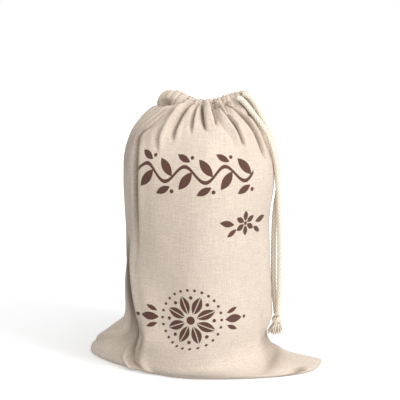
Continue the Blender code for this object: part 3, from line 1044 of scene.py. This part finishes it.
def weave_group() -> bpy.types.NodeTree:
    """Plain weave: two sets of threads that pass over each other in turn.

    With a = sin(pi * across) and b = sin(pi * along), the height is the larger of |a| * (1 + 0.4ab) and
    |b| * (1 - 0.4ab), where across and along count threads.

    Returns:
        The group, from Across and Along to Height.
    """
    kinds = {"Across": "NodeSocketFloat", "Along": "NodeSocketFloat"}
    group = new_group("plain weave", kinds, {"Height": "NodeSocketFloat"})
    across = (Field(group, entry(group, "Across")) * math.pi).math("SINE")
    along = (Field(group, entry(group, "Along")) * math.pi).math("SINE")
    over = across * along * 0.4
    warp = abs(across) * (over + 1.0)
    weft = abs(along) * (-over + 1.0)
    leave(group, "Height", warp.either(weft))
    return group


def slub_group() -> bpy.types.NodeTree:
    """Uneven linen yarn: long thin streaks each way, soft clouds, and small straw-coloured flecks.

    Returns:
        The group, from Cloth to Tone, a factor about one, Thickness, about one half, and Fleck, from 0 to 1.
    """
    outputs = {"Tone": "NodeSocketFloat", "Thickness": "NodeSocketFloat", "Fleck": "NodeSocketFloat"}
    group = new_group("linen slubs", {"Cloth": "NodeSocketVector"}, outputs)
    spot = split_mm(group, entry(group, "Cloth"))
    place = (spot.x, spot.y)
    weft = noise(group, place, (0.055, 0.95), 3.0)
    warp = noise(group, (spot.x + 300.0, spot.y), (0.80, 0.045), 3.0)
    cloud = noise(group, (spot.x, spot.y + 700.0), (0.035, 0.030), 2.0)
    grain = noise(group, (spot.x, spot.y + 500.0), (0.60, 0.60), 2.0)
    tone = (weft - 0.5) * 0.42 + (warp - 0.5) * 0.38 + (cloud - 0.5) * 0.14 + (grain - 0.5) * 0.52 + 1.0
    leave(group, "Tone", tone)
    leave(group, "Thickness", weft * 0.5 + warp * 0.5)
    fleck = noise(group, (spot.x + 900.0, spot.y), (0.45, 0.70), 2.0)
    leave(group, "Fleck", fleck.step(0.66, 0.78))
    return group


@dataclass(frozen=True)
class Print:
    """The generic ornament in brown ink: a leafy vine, a sprig and a round rosette between two leaves."""

    edge: float = 0.3
    vine_at: tuple[float, float] = (7.0, 213.0)
    vine_reach: float = 66.0
    vine_cell: float = 22.0
    vine_swing: float = 8.0
    vine_stroke: float = 1.5
    sprig_at: tuple[float, float] = (64.0, 161.0)
    rosette_at: tuple[float, float] = (4.0, 64.0)

    def vine(self, spot: Spot) -> Field:
        """A waving stem, swing * cos(pi * x / cell), a large leaf in each hollow and a small one outside.

        Args:
            spot: The place from the vine's middle.

        Returns:
            A number that is positive inside the ink.
        """
        cell = self.vine_cell
        start = spot.x + self.vine_reach
        index = (start * (1.0 / cell)).math("FLOOR")
        side = (index.math("MODULO", 2.0)) * -2.0 + 1.0
        local = Spot(start - index * cell - cell / 2.0, spot.y * side)
        swing = ((start - cell / 2.0) * (math.pi / cell)).math("COSINE") * self.vine_swing
        stem = -abs(spot.y - swing) * 0.75 + self.vine_stroke
        hollow = local.moved(1.0, -6.5).turned(52.0).leaf(11.5, 4.8)
        outside = local.moved(-1.5, 16.8).turned(-28.0).leaf(8.6, 3.6)
        berry = local.moved(8.2, 17.5).disc(2.1)
        within = -abs(spot.x) + self.vine_reach
        leaves = hollow.either(outside).either(berry).both(within)
        return stem.both(within * 0.25).either(leaves)

    def sprig(self, spot: Spot) -> Field:
        """A six-petalled flower between two pairs of leaves, positive inside the ink."""
        petals = spot.sector(6, 30.0).moved(7.6, 0.0).leaf(5.4, 2.9)
        mirrored = Spot(abs(spot.x), spot.y)
        wide = mirrored.moved(22.5, 1.5).turned(12.0).leaf(8.5, 3.3)
        low = mirrored.moved(17.0, -8.5).turned(-32.0).leaf(6.5, 2.6)
        return petals.either(spot.disc(1.9)).either(wide).either(low)

    def rosette(self, spot: Spot) -> Field:
        """An eight-petalled rosette in a ring of dots, with a leaf and dots at each side, positive inside."""
        petals = spot.sector(8, 22.5).moved(16.6, 0.0).leaf(10.2, 5.0)
        vein = -abs(spot.sector(8, 22.5).y) + 0.45
        petals = petals.both(-vein)
        between = spot.sector(8).moved(23.6, 0.0).disc(1.9)
        ring = spot.sector(26).moved(31.4, 0.0).disc(1.5)
        mirrored = Spot(abs(spot.x), spot.y)
        leaf = mirrored.moved(45.0, 0.0).leaf(9.6, 4.3)
        dots = mirrored.moved(58.0, 0.0).disc(1.8)
        small = Spot(mirrored.x, abs(spot.y)).moved(43.0, 9.0).turned(24.0).leaf(6.4, 2.3)
        pieces = (between, ring, leaf, dots, small, spot.disc(4.3))
        for piece in pieces:
            petals = petals.either(piece)
        return petals

    def group(self) -> bpy.types.NodeTree:
        """The ornament as a node group, from Cloth to Ink, which is 1 inside it and 0 outside."""
        group = new_group("brown ornament", {"Cloth": "NodeSocketVector"}, {"Ink": "NodeSocketFloat"})
        spot = split_mm(group, entry(group, "Cloth"))
        shape = self.vine(spot.moved(*self.vine_at))
        shape = shape.either(self.sprig(spot.moved(*self.sprig_at)))
        shape = shape.either(self.rosette(spot.moved(*self.rosette_at)))
        ragged = noise(group, (spot.x, spot.y), (1.6, 1.6), 1.0)
        shape = shape + (ragged - 0.5) * 0.5
        leave(group, "Ink", shape.step(-self.edge, self.edge))
        return group


# Finishes


class Look:
    """One material under construction: its tree, its shader and a few shorthands."""

    def __init__(self, name: str, roughness: float, sheen: float) -> None:
        """Start a matt fibre material with constant sheen and roughness."""
        self.material = bpy.data.materials.new(name)
        self.material.use_nodes = True
        self.tree = self.material.node_tree
        self.shader = self.tree.nodes["Principled BSDF"]
        self.shader.inputs["Roughness"].default_value = roughness
        self.shader.inputs["Sheen Weight"].default_value = sheen
        self.shader.inputs["Sheen Roughness"].default_value = 0.5
        self.shader.inputs["Specular IOR Level"].default_value = 0.25

    def placed(self, group: bpy.types.NodeTree, **inputs: Field) -> bpy.types.Node:
        """A node of a group, with its inputs fed."""
        node = self.tree.nodes.new("ShaderNodeGroup")
        node.node_tree = group
        for name, value in inputs.items():
            self.tree.links.new(value.socket, node.inputs[name])
        return node

    def mixed(
        self, share: Field, first: "Colour | bpy.types.NodeSocket", second: Colour
    ) -> bpy.types.NodeSocket:
        """A colour between two.

        Args:
            share: How much of the second.
            first: A colour or a colour socket.
            second: The other colour.

        Returns:
            The mixed colour's socket.
        """
        node = self.tree.nodes.new("ShaderNodeMix")
        node.data_type = "RGBA"
        node.clamp_factor = True
        self.tree.links.new(share.socket, node.inputs["Factor"])
        if isinstance(first, tuple):
            node.inputs["A"].default_value = (*first, 1.0)
        else:
            self.tree.links.new(first, node.inputs[6])
        node.inputs[7].default_value = (*second, 1.0)
        return node.outputs[2]

    def scaled(self, colour: bpy.types.NodeSocket, factor: Field) -> bpy.types.NodeSocket:
        """A colour times a factor that varies over the surface."""
        node = self.tree.nodes.new("ShaderNodeVectorMath")
        node.operation = "SCALE"
        self.tree.links.new(colour, node.inputs[0])
        self.tree.links.new(factor.socket, node.inputs["Scale"])
        return node.outputs[0]

    def finish(self, colour: bpy.types.NodeSocket, height: Field, distance: float, strength: float) -> None:
        """Feed the shader its colour and its bump.

        Args:
            colour: The base colour's socket.
            height: The relief, from 0 to 1.
            distance: What a height of 1 stands for, in metres.
            strength: How much of the bump shows.
        """
        bump = self.tree.nodes.new("ShaderNodeBump")
        bump.inputs["Strength"].default_value = strength
        bump.inputs["Distance"].default_value = distance
        self.tree.links.new(height.socket, bump.inputs["Height"])
        self.tree.links.new(bump.outputs["Normal"], self.shader.inputs["Normal"])
        self.tree.links.new(colour, self.shader.inputs["Base Color"])


@dataclass(frozen=True)
class LinenFinish:
    """Undyed linen in plain weave, with brown ink on its front and painted shade in its folds and recesses."""

    yarn: Colour = (0.690, 0.588, 0.492)
    shade: Colour = (0.515, 0.405, 0.312)
    straw: Colour = (0.400, 0.300, 0.205)
    ink: Colour = (0.105, 0.046, 0.034)
    # the painted shade colour of the folds and recesses
    hollow: Colour = (0.130, 0.082, 0.050)
    thread_pitch: float = 0.68
    roughness: float = 0.88
    sheen: float = 0.18
    bump: float = 0.00022

    def build(
        self, weave: bpy.types.NodeTree, slubs: bpy.types.NodeTree, ornament: bpy.types.NodeTree
    ) -> bpy.types.Material:
        """Make the material.

        Args:
            weave: The plain weave group.
            slubs: The slub group.
            ornament: The print group.

        Returns:
            The material.
        """
        look = Look("natural linen", self.roughness, self.sheen)
        tree = look.tree
        uv = tree.nodes.new("ShaderNodeUVMap")
        uv.uv_map = CLOTH_UV
        cloth = Field(tree, uv.outputs["UV"])
        spot = split_mm(tree, uv.outputs["UV"])
        slub = look.placed(slubs, Cloth=cloth)
        tone = Field(tree, slub.outputs["Tone"])
        thickness = Field(tree, slub.outputs["Thickness"])
        fleck = Field(tree, slub.outputs["Fleck"])
        per_thread = 1.0 / self.thread_pitch
        across, along = spot.x * per_thread, spot.y * per_thread
        threads = Field(tree, look.placed(weave, Across=across, Along=along).outputs["Height"])
        ink = Field(tree, look.placed(ornament, Cloth=cloth).outputs["Ink"])
        colour = look.mixed(threads.step(0.80, 0.20), self.yarn, self.shade)
        colour = look.mixed(fleck * 0.55, colour, self.straw)
        covered = ink * (threads.step(0.05, 0.5, 0.86, 1.0))
        colour = look.scaled(look.mixed(covered, colour, self.ink), tone)
        # painted shade: the folds and recesses are darkened towards the warm shade colour by the shade attribute
        attribute = tree.nodes.new("ShaderNodeAttribute")
        attribute.attribute_name = SHADE
        colour = look.mixed(Field(tree, attribute.outputs["Fac"]), colour, self.hollow)
        look.finish(colour, threads * 0.6 + thickness * 0.9, self.bump, 0.9)
        return look.material


@dataclass(frozen=True)
class CottonFinish:
    """Soft cream cotton, with painted shade between its strands."""

    name: str
    crown: Colour
    # painted shade between the strands
    groove: Colour
    fibre_scale: float = 2400.0
    roughness: float = 0.85
    sheen: float = 0.15
    bump: float = 0.00015

    def build(self) -> bpy.types.Material:
        """Make the material: its groove attribute mixes the crown colour with the painted shade colour between
        strands, and fine fibre noise gives the bump.
        """
        look = Look(self.name, self.roughness, self.sheen)
        tree = look.tree
        attribute = tree.nodes.new("ShaderNodeAttribute")
        attribute.attribute_name = STRAND_SHADE_AND_TONE
        # how much of the darker groove colour: painted shade between braided strands, a random share on tuft
        # strands
        depth = Field(tree, attribute.outputs["Fac"])
        place = tree.nodes.new("ShaderNodeTexCoord")
        fibre = tree.nodes.new("ShaderNodeTexNoise")
        fibre.inputs["Scale"].default_value = self.fibre_scale
        fibre.inputs["Detail"].default_value = 2.0
        tree.links.new(place.outputs["Object"], fibre.inputs["Vector"])
        fuzz = Field(tree, fibre.outputs["Fac"])
        colour = look.mixed(depth, self.crown, self.groove)
        colour = look.scaled(colour, (fuzz - 0.5) * 0.25 + 1.0)
        look.finish(colour, fuzz, self.bump, 0.7)
        return look.material


# The pieces


@dataclass
class BagCloth:
    """The bag itself: one closed shell of cloth with its print coordinates."""

    form: BagForm
    flat: tuple[float, float] = (0.54, 0.43)

    def rim(self, shell: Shell) -> Array:
        """Rows over the mouth's edge: half a circle from the outer face to the inner one.

        Args:
            shell: The worked-out form.

        Returns:
            Rows of points between the last outer row and the first inner row.
        """
        outer, inner = shell.outer[-1], shell.inner[0]
        middle, reach = (outer + inner) / 2.0, (outer - inner) / 2.0
        lift = np.array([0.0, 0.0, self.form.cloth * 0.7])
        angle = np.linspace(0.0, math.pi, self.form.rim_rows + 2)[1:-1, None, None]
        return middle + reach * np.cos(angle) + lift * np.sin(angle)

    def rows(self, shell: Shell) -> tuple[Array, Array, int]:
        """All the rows in order, from the middle of the base to the middle of the cavity's floor.

        Args:
            shell: The worked-out form.

        Returns:
            The rows of points, how far along the cloth each lies, and the number of the first outer row.
        """
        form = self.form
        foot = shell.outer[0]
        centre = foot.mean(axis=0)
        base = np.stack([centre + (foot - centre) * share for share in (0.06, 0.35, 0.66, 0.90)])
        base[:, :, 2] = 0.0
        floor = shell.inner[-1]
        middle = floor.mean(axis=0)
        shares = (form.cavity_narrowing, 0.60, 0.30, 0.06)
        bottom = np.stack([middle + (floor - middle) * share for share in shares])
        bottom[:, :, 2] = form.floor
        rim = self.rim(shell)
        points = np.concatenate([base, shell.outer, rim, shell.inner, bottom])
        step = np.linalg.norm(np.diff(points, axis=0), axis=2).mean(axis=1)
        start = len(base)
        along = np.empty(points.shape[:2])
        along[start : start + len(shell.outer)] = shell.along
        back = np.cumsum(step[:start][::-1])[::-1]
        along[:start] = shell.along[0] - back[:, None]
        last = start + len(shell.outer) - 1
        along[last + 1 :] = shell.along[-1] + np.cumsum(step[last:])[:, None]
        return points, along, start

    def build(self, shell: Shell, finish: bpy.types.Material) -> bpy.types.Object:
        """Make the bag with its cloth coordinates.

        Args:
            shell: The worked-out form.
            finish: The linen.

        Returns:
            The piece.
        """
        points, along, start = self.rows(shell)
        joined, faces = closed_tubes(points[None])
        mesh = make_mesh("bag_cloth", joined, faces)
        turns = np.append(self.form.column_turns(), FULL_TURN)
        across = np.tile((turns - 270.0) / FULL_TURN * self.form.uv_girth, (len(along), 1))
        up = np.concatenate([along, along[:, :1]], axis=1)
        flat = np.stack([across, up], axis=2) * MM
        quads = np.stack([flat[:-1, :-1], flat[:-1, 1:], flat[1:, 1:], flat[1:, :-1]], axis=2).reshape(-1, 2)
        foot = np.stack([flat[0, 1:], flat[0, :-1], flat[0, :-1]], axis=1).reshape(-1, 2)
        head = np.stack([flat[-1, :-1], flat[-1, 1:], flat[-1, 1:]], axis=1).reshape(-1, 2)
        layer = mesh.uv_layers.new(name=CLOTH_UV)
        layer.uv.foreach_set("vector", np.concatenate([quads, foot, head]).astype(np.float32).ravel())
        # painted shade of the folds and recesses, kept on the outer rows only
        lost = np.zeros(along.shape)
        lost[start : start + len(shell.shade)] = shell.shade
        keep_values(mesh, SHADE, np.append(lost.ravel(), [0.0, 0.0]))
        piece = add_piece("bag_cloth", mesh, finish)
        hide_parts("bag")
        return piece


@dataclass
class CasingStitches:
    """The row of machine stitches that closes the casing, following every gather."""

    spacing: float = 3.1
    length: float = 2.3
    radius: float = 0.33
    rings: int = 5
    sides: int = 6
    sink: float = 0.05

    def build(self, form: BagForm, shell: Shell, finish: bpy.types.Material) -> bpy.types.Object:
        """Make the stitches: short capsules, their radius r * sqrt(1 - (2s - 1)^4) along each.

        Args:
            form: The bag's sizes.
            shell: The worked-out form.
            finish: The thread's material.

        Returns:
            The piece.
        """
        row = np.interp(form.stitch_line(shell.turns[0]), shell.heights, np.arange(len(shell.heights)))
        low = np.minimum(row.astype(int), len(shell.heights) - 2)
        column, rest = np.arange(len(row)), (row - low)[:, None]
        line = shell.outer[low, column] * (1.0 - rest) + shell.outer[low + 1, column] * rest
        line = np.concatenate([line, line[:1]])
        normal = np.concatenate([shell.normals[low, column], shell.normals[low[:1], column[:1]]])
        length = lengths_along(line)
        count = round(length[-1] / self.spacing)
        share = np.linspace(-0.5, 0.5, self.rings)
        at = (np.arange(count)[:, None] + 0.5) * length[-1] / count + share * self.length
        centres = np.stack([np.interp(at, length, line[:, axis]) for axis in range(3)], axis=2)
        outward = np.stack([np.interp(at, length, normal[:, axis]) for axis in range(3)], axis=2)
        centres = centres + unit(outward) * (self.radius - self.sink)
        swell = np.sqrt(np.maximum(1.0 - (2.0 * share) ** 4, 0.12))
        radius = np.tile((self.radius * swell)[None, :, None], (count, 1, self.sides))
        points = rings_around(centres, radius, self.sides, (0.0, 0.0, 1.0))
        joined, faces = closed_tubes(points)
        mesh = make_mesh("casing_stitches", joined, faces)
        keep_values(mesh, STRAND_SHADE_AND_TONE, np.zeros(len(joined)))
        return add_piece("casing_stitches", mesh, finish)


@dataclass
class Braid:
    """A round braid's relief, the plain weave's formula wrapped round a cylinder.

    With a = sin((m * angle + k * along) / 2) and b = sin((m * angle - k * along) / 2), the height is the
    larger of |a|^0.7 * (1 + 0.35ab) and |b|^0.7 * (1 - 0.35ab).
    """

    strands: int = 5
    pitch: float = 4.4
    relief: float = 0.55

    def height(self, angle: Array, along: Array) -> Array:
        """The relief at each point.

        Args:
            angle: Radians around the cord.
            along: Millimetres along it.

        Returns:
            Heights from 0 in a groove to about 1.
        """
        turn, climb = self.strands * angle, 2.0 * math.pi * along / self.pitch
        one, two = np.sin((turn + climb) / 2.0), np.sin((turn - climb) / 2.0)
        over = 0.35 * one * two
        return np.maximum(np.abs(one) ** 0.7 * (1.0 + over), np.abs(two) ** 0.7 * (1.0 - over))


@dataclass
class DrawcordTail:
    """One free end of the drawcord, from the casing over the shoulder and down to the knot."""

    name: str
    node: str
    route: tuple[Point, ...]
    diameter: float = 5.2
    step: float = 0.42
    sides: int = 40
    braid: Braid = field(default_factory=Braid)

    def line(self) -> Array:
        """The centreline: cubics through the route's points, read at an even spacing."""
        route = np.array(self.route)
        length = lengths_along(route)
        even = np.linspace(0.0, length[-1], round(length[-1] / self.step) + 1)
        return np.stack([read_smoothly(even, length, route[:, axis]) for axis in range(3)], axis=1)

    def build(self, finish: bpy.types.Material) -> bpy.types.Object:
        """Make the braided tube.

        Args:
            finish: The cotton.

        Returns:
            The piece.
        """
        line = self.line()
        length = lengths_along(line)
        angle = np.linspace(0.0, 2.0 * math.pi, self.sides, endpoint=False)
        height = self.braid.height(angle[None, :], length[:, None])
        radius = self.diameter / 2.0 + self.braid.relief * (height - 0.75)
        joined, faces = closed_tubes(rings_around(line, radius, self.sides, (0.0, 1.0, 0.0))[None])
        mesh = make_mesh(self.name, joined, faces)
        # painted shade: the braid's low places take the darker groove colour
        groove = np.clip(1.0 - height, 0.0, 1.0).ravel()
        keep_values(mesh, STRAND_SHADE_AND_TONE, np.concatenate([groove, [0.0, 0.0]]))
        piece = add_piece(self.name, mesh, finish)
        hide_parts(self.node)
        return piece

    def declare(self, piece: bpy.types.Object, with_pieces: list[bpy.types.Object]) -> None:
        """Work out the cord's centreline."""
        line = self.line()


@dataclass
class DrawcordKnot:
    """The overhand knot that holds both ends: cord wound round them, with one part crossing over."""

    axis: tuple[float, float] = (78.6, 0.1)
    top: float = 50.6
    foot: float = 39.6
    wraps: float = 2.3
    wrap_radius: float = 3.5
    cord_radius: float = 2.25
    rings: int = 220
    sides: int = 24
    braid: Braid = field(default_factory=lambda: Braid(4, 3.6, 0.4))

    def about_axis(self, reach: Array, angle: Array, z: Array) -> Array:
        """Points at a reach and an angle from the knot's axis."""
        x = self.axis[0] + reach * np.cos(angle)
        y = self.axis[1] + reach * np.sin(angle)
        return np.stack([x, y, z], axis=1)

    def wound(self) -> Array:
        """The winding: a helix whose radius closes to the axis at both ends."""
        share = np.linspace(0.0, 1.0, self.rings)
        angle = math.radians(200.0) + 2.0 * math.pi * self.wraps * share
        reach = self.wrap_radius * np.sin(math.pi * np.clip(share, 0.04, 0.96)) ** 0.35
        inset = self.cord_radius
        z = (self.top - inset) + (self.foot + inset * 2.0 - self.top) * share
        z = z + 0.9 * np.sin(angle + 0.6)
        return self.about_axis(reach, angle, z)

    def crossing(self) -> Array:
        """The part that crosses the winding's front from low at the left to high at the right."""
        share = np.linspace(0.0, 1.0, self.rings // 2)
        angle = math.radians(215.0) + math.radians(110.0) * share
        reach = self.wrap_radius + 1.1 * np.sin(math.pi * share) ** 0.6
        z = self.foot + 2.6 + (self.top - self.foot - 5.0) * smooth_step(share, 0.0, 1.0)
        return self.about_axis(reach, angle, z)

    def build(self, finish: bpy.types.Material) -> bpy.types.Object:
        """Make the knot.

        Args:
            finish: The cotton.

        Returns:
            The piece.
        """
        points, faces, groove_shades = [], [], []
        angle = np.linspace(0.0, 2.0 * math.pi, self.sides, endpoint=False)
        count = 0
        for line in (self.wound(), self.crossing()):
            length = lengths_along(line)
            height = self.braid.height(angle[None, :], length[:, None])
            ends = np.sin(math.pi * np.linspace(0.03, 0.97, len(line))) ** 0.25
            radius = (self.cord_radius + self.braid.relief * (height - 0.75)) * ends[:, None]
            part, part_faces = closed_tubes(rings_around(line, radius, self.sides, (0.0, 0.0, 1.0))[None])
            faces += [[number + count for number in face] for face in part_faces]
            points.append(part)
            # painted shade: the braid's low places take the darker groove colour
            groove_shades += [np.clip(1.0 - height, 0.0, 1.0).ravel(), np.zeros(2)]
            count += len(part)
        mesh = make_mesh("drawcord_knot", np.concatenate(points), faces)
        keep_values(mesh, STRAND_SHADE_AND_TONE, np.concatenate(groove_shades))
        piece = add_piece("drawcord_knot", mesh, finish)
        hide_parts("cord_knot")
        return piece


@dataclass
class FrayedTuft:
    """The cut ends below the knot, combed out into soft tapering strands."""

    axis: tuple[float, float] = (78.2, 0.1)
    drift: float = -2.2
    top: float = 40.6
    strands: int = 44
    rings: int = 9
    sides: int = 5
    root_reach: float = 3.4
    tip_reach: float = 8.8
    length: float = 12.2
    thickness: float = 0.80
    seed: int = 5

    def build(self, finish: bpy.types.Material) -> bpy.types.Object:
        """Make the strands: each falls as length * s, spreads as root + (tip - root) * s^0.8 and drifts.

        Args:
            finish: The cotton.

        Returns:
            The piece.
        """
        draw = np.random.default_rng(self.seed)
        number = np.arange(self.strands)
        angle = number * math.radians(137.508)
        rank = np.sqrt((number + 0.5) / self.strands)
        drop = self.length * draw.uniform(0.82, 1.05, self.strands) * (1.0 - 0.16 * rank**3)
        spread = self.tip_reach * rank * draw.uniform(0.88, 1.08, self.strands)
        bend = draw.uniform(-0.35, 0.35, self.strands)
        curl = draw.uniform(-0.5, 0.5, (2, self.strands))
        share = np.linspace(0.0, 1.0, self.rings)
        root = self.root_reach * rank
        reach = root[:, None] + (spread - root)[:, None] * share**0.8
        swing = angle[:, None] + bend[:, None] * share**2
        x = self.axis[0] + reach * np.cos(swing) + curl[0][:, None] * np.sin(3.0 * share) + self.drift * share
        y = self.axis[1] + reach * np.sin(swing) + curl[1][:, None] * np.sin(3.0 * share)
        z = self.top - drop[:, None] * share
        line = np.stack([x, y, z], axis=2)
        taper = self.thickness * (1.0 - 0.55 * share**2)
        radius = np.tile(taper[None, :, None], (self.strands, 1, self.sides))
        joined, faces = closed_tubes(rings_around(line, radius, self.sides, (0.0, 1.0, 0.0)))
        mesh = make_mesh("frayed_tuft", joined, faces)
        # each strand takes a random share of the darker groove colour
        depth = np.repeat(draw.uniform(0.0, 0.6, self.strands), self.rings * self.sides + 2)
        keep_values(mesh, STRAND_SHADE_AND_TONE, depth)
        piece = add_piece("frayed_tuft", mesh, finish)
        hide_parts("cord_tuft")
        return piece


# Camera, floor and light


@dataclass(frozen=True)
class Softbox:
    """One square area light that looks at the bag."""

    name: str
    at: Point
    side: float
    watts: float
    colour: Colour = (1.0, 1.0, 1.0)


@dataclass
class Studio:
    """The photograph's view of the bag on a plain pale floor under soft light."""

    azimuth: float = 9.224
    elevation: float = 11.882
    distance: float = 1303.676
    aside: float = -4.768
    aim_height: float = 172.241
    lens: float = 111.05
    sensor: float = 36.0
    floor_half: float = 6.0
    floor_colour: Colour = (0.90, 0.90, 0.90)
    # the floor's glow under the bag and far from it, and between which distances it changes, in metres
    floor_glow: tuple[float, float] = (0.16, 0.70)
    glow_reach: tuple[float, float] = (0.20, 1.6)
    # the room's light from its dim side and from its bright side, and where the bright side is
    ambient: tuple[float, float] = (0.08, 1.25)
    bright_side: Point = (0.42, -0.64, 0.64)
    lights: tuple[Softbox, ...] = (Softbox("key", (2.0, -0.95, 1.25), 0.7, 30.0, (1.0, 0.995, 0.99)),)

    def place_camera(self) -> None:
        """Stand the camera where the photograph was taken from."""
        turn, tilt = math.radians(self.azimuth), math.radians(self.elevation)
        back = Vector((math.sin(turn) * math.cos(tilt), -math.cos(turn) * math.cos(tilt), math.sin(tilt)))
        target = Vector((math.cos(turn) * self.aside, math.sin(turn) * self.aside, self.aim_height)) * MM
        data = bpy.data.cameras.new("camera")
        data.lens = self.lens
        data.sensor_width = self.sensor
        data.clip_start = 0.05
        data.clip_end = 50.0
        camera = bpy.data.objects.new("camera", data)
        camera.location = target + back * self.distance * MM
        camera.rotation_mode = "QUATERNION"
        camera.rotation_quaternion = (-back).to_track_quat("-Z", "Y")
        bpy.context.scene.collection.objects.link(camera)
        bpy.context.scene.camera = camera

    def lay_floor(self) -> None:
        """Lay the pale floor, just under the bag."""
        reach = self.floor_half
        corners = [(-reach, -reach, 0.0), (reach, -reach, 0.0), (reach, reach, 0.0), (-reach, reach, 0.0)]
        mesh = bpy.data.meshes.new("floor")
        mesh.from_pydata(corners, [], [[0, 1, 2, 3]])
        finish = bpy.data.materials.new("pale floor")
        finish.use_nodes = True
        shader = finish.node_tree.nodes["Principled BSDF"]
        shader.inputs["Base Color"].default_value = (*self.floor_colour, 1.0)
        shader.inputs["Roughness"].default_value = 0.95
        shader.inputs["Specular IOR Level"].default_value = 0.1
        shader.inputs["Emission Color"].default_value = (1.0, 1.0, 1.0, 1.0)
        tree = finish.node_tree
        place = tree.nodes.new("ShaderNodeTexCoord")
        away = tree.nodes.new("ShaderNodeVectorMath")
        away.operation = "LENGTH"
        tree.links.new(place.outputs["Object"], away.inputs[0])
        glow = Field(tree, away.outputs["Value"]).step(*self.glow_reach, *self.floor_glow)
        tree.links.new(glow.socket, shader.inputs["Emission Strength"])
        mesh.materials.append(finish)
        floor = bpy.data.objects.new("floor", mesh)
        floor.visible_diffuse = False
        bpy.context.scene.collection.objects.link(floor)

    def light(self) -> None:
        """Hang the softboxes and fill the room with pale light, white where the camera sees it."""
        for box in self.lights:
            data = bpy.data.lights.new(box.name, "AREA")
            data.shape = "SQUARE"
            data.size = box.side
            data.energy = box.watts
            data.color = box.colour
            lamp = bpy.data.objects.new(box.name, data)
            lamp.location = box.at
            aim = Vector((0.0, 0.0, 0.15)) - Vector(box.at)
            lamp.rotation_mode = "QUATERNION"
            lamp.rotation_quaternion = aim.to_track_quat("-Z", "Y")
            bpy.context.scene.collection.objects.link(lamp)
        world = bpy.data.worlds.new("room")
        world.use_nodes = True
        tree = world.node_tree
        ambient = tree.nodes["Background"]
        ambient.inputs["Color"].default_value = (1.0, 1.0, 1.0, 1.0)
        place = tree.nodes.new("ShaderNodeTexCoord")
        toward = tree.nodes.new("ShaderNodeVectorMath")
        toward.operation = "DOT_PRODUCT"
        toward.inputs[1].default_value = self.bright_side
        tree.links.new(place.outputs["Generated"], toward.inputs[0])
        strength = Field(tree, toward.outputs["Value"]).step(-0.8, 0.9, *self.ambient)
        tree.links.new(strength.socket, ambient.inputs["Strength"])
        seen = tree.nodes.new("ShaderNodeBackground")
        seen.inputs["Color"].default_value = (1.0, 1.0, 1.0, 1.0)
        path = tree.nodes.new("ShaderNodeLightPath")
        mix = tree.nodes.new("ShaderNodeMixShader")
        tree.links.new(path.outputs["Is Camera Ray"], mix.inputs["Fac"])
        tree.links.new(ambient.outputs["Background"], mix.inputs[1])
        tree.links.new(seen.outputs["Background"], mix.inputs[2])
        tree.links.new(mix.outputs["Shader"], tree.nodes["World Output"].inputs["Surface"])
        bpy.context.scene.world = world
        bpy.context.scene.view_settings.view_transform = "Standard"


FRONT_ROUTE: tuple[Point, ...] = (
    (36.4, -18.8, 283.8), (40.2, -18.6, 282.6), (43.6, -17.6, 279.2), (48.2, -15.6, 273.2),
    (55.2, -14.6, 264.2), (62.6, -12.2, 253.2), (68.4, -9.4, 241.6), (72.8, -8.2, 228.0),
    (75.6, -6.4, 214.5), (77.3, -4.8, 200.0), (78.3, -3.9, 185.0), (79.0, -3.4, 168.0),
    (79.9, -3.2, 150.0), (80.6, -3.0, 130.0), (80.9, -3.0, 110.0), (80.9, -2.9, 90.0),
    (80.6, -2.8, 72.0), (80.1, -2.8, 60.0), (79.8, -2.8, 50.6),
)
BACK_ROUTE: tuple[Point, ...] = (
    (42.2, -12.6, 287.0), (47.4, -14.0, 285.2), (52.9, -12.0, 278.8), (58.8, -7.4, 266.8),
    (65.8, -5.6, 252.6), (70.4, -3.6, 241.4), (74.1, -1.8, 228.0), (76.6, 0.6, 214.5),
    (77.6, 2.2, 200.0), (77.4, 2.9, 185.0), (75.2, 2.9, 168.0), (74.0, 2.8, 150.0),
    (73.6, 2.8, 130.0), (73.6, 2.8, 110.0), (74.0, 2.8, 90.0), (74.8, 2.9, 72.0),
    (76.4, 3.0, 60.0), (77.4, 3.0, 50.6),
)


def main() -> None:
    """Build every piece in order, camera and cords first."""
    logging.basicConfig(level=logging.INFO, format="%(name)s %(message)s")
    studio = Studio()
    studio.place_camera()

    # the cord's cream, and the painted shade colour between its strands
    cream = CottonFinish("cream cotton", (0.81, 0.75, 0.645), (0.40, 0.29, 0.17)).build()
    tails = (
        DrawcordTail("drawcord_front", "cord_tail_front", FRONT_ROUTE),
        DrawcordTail("drawcord_back", "cord_tail_back", BACK_ROUTE),
    )
    front, back = (tail.build(cream) for tail in tails)
    knot = DrawcordKnot().build(cream)
    tuft = FrayedTuft().build(cream)
    tails[0].declare(front, [knot, tuft])
    tails[1].declare(back, [])

    linen = LinenFinish().build(weave_group(), slub_group(), Print().group())
    thread = CottonFinish("linen thread", (0.74, 0.65, 0.54), (0.5, 0.4, 0.3)).build()
    form = BagForm()
    shell = form.shell()
    cloth = BagCloth(form)
    bag = cloth.build(shell, linen)
    stitches = CasingStitches().build(form, shell, thread)

    studio.lay_floor()
    studio.light()


if __name__ == "__main__":
    main()
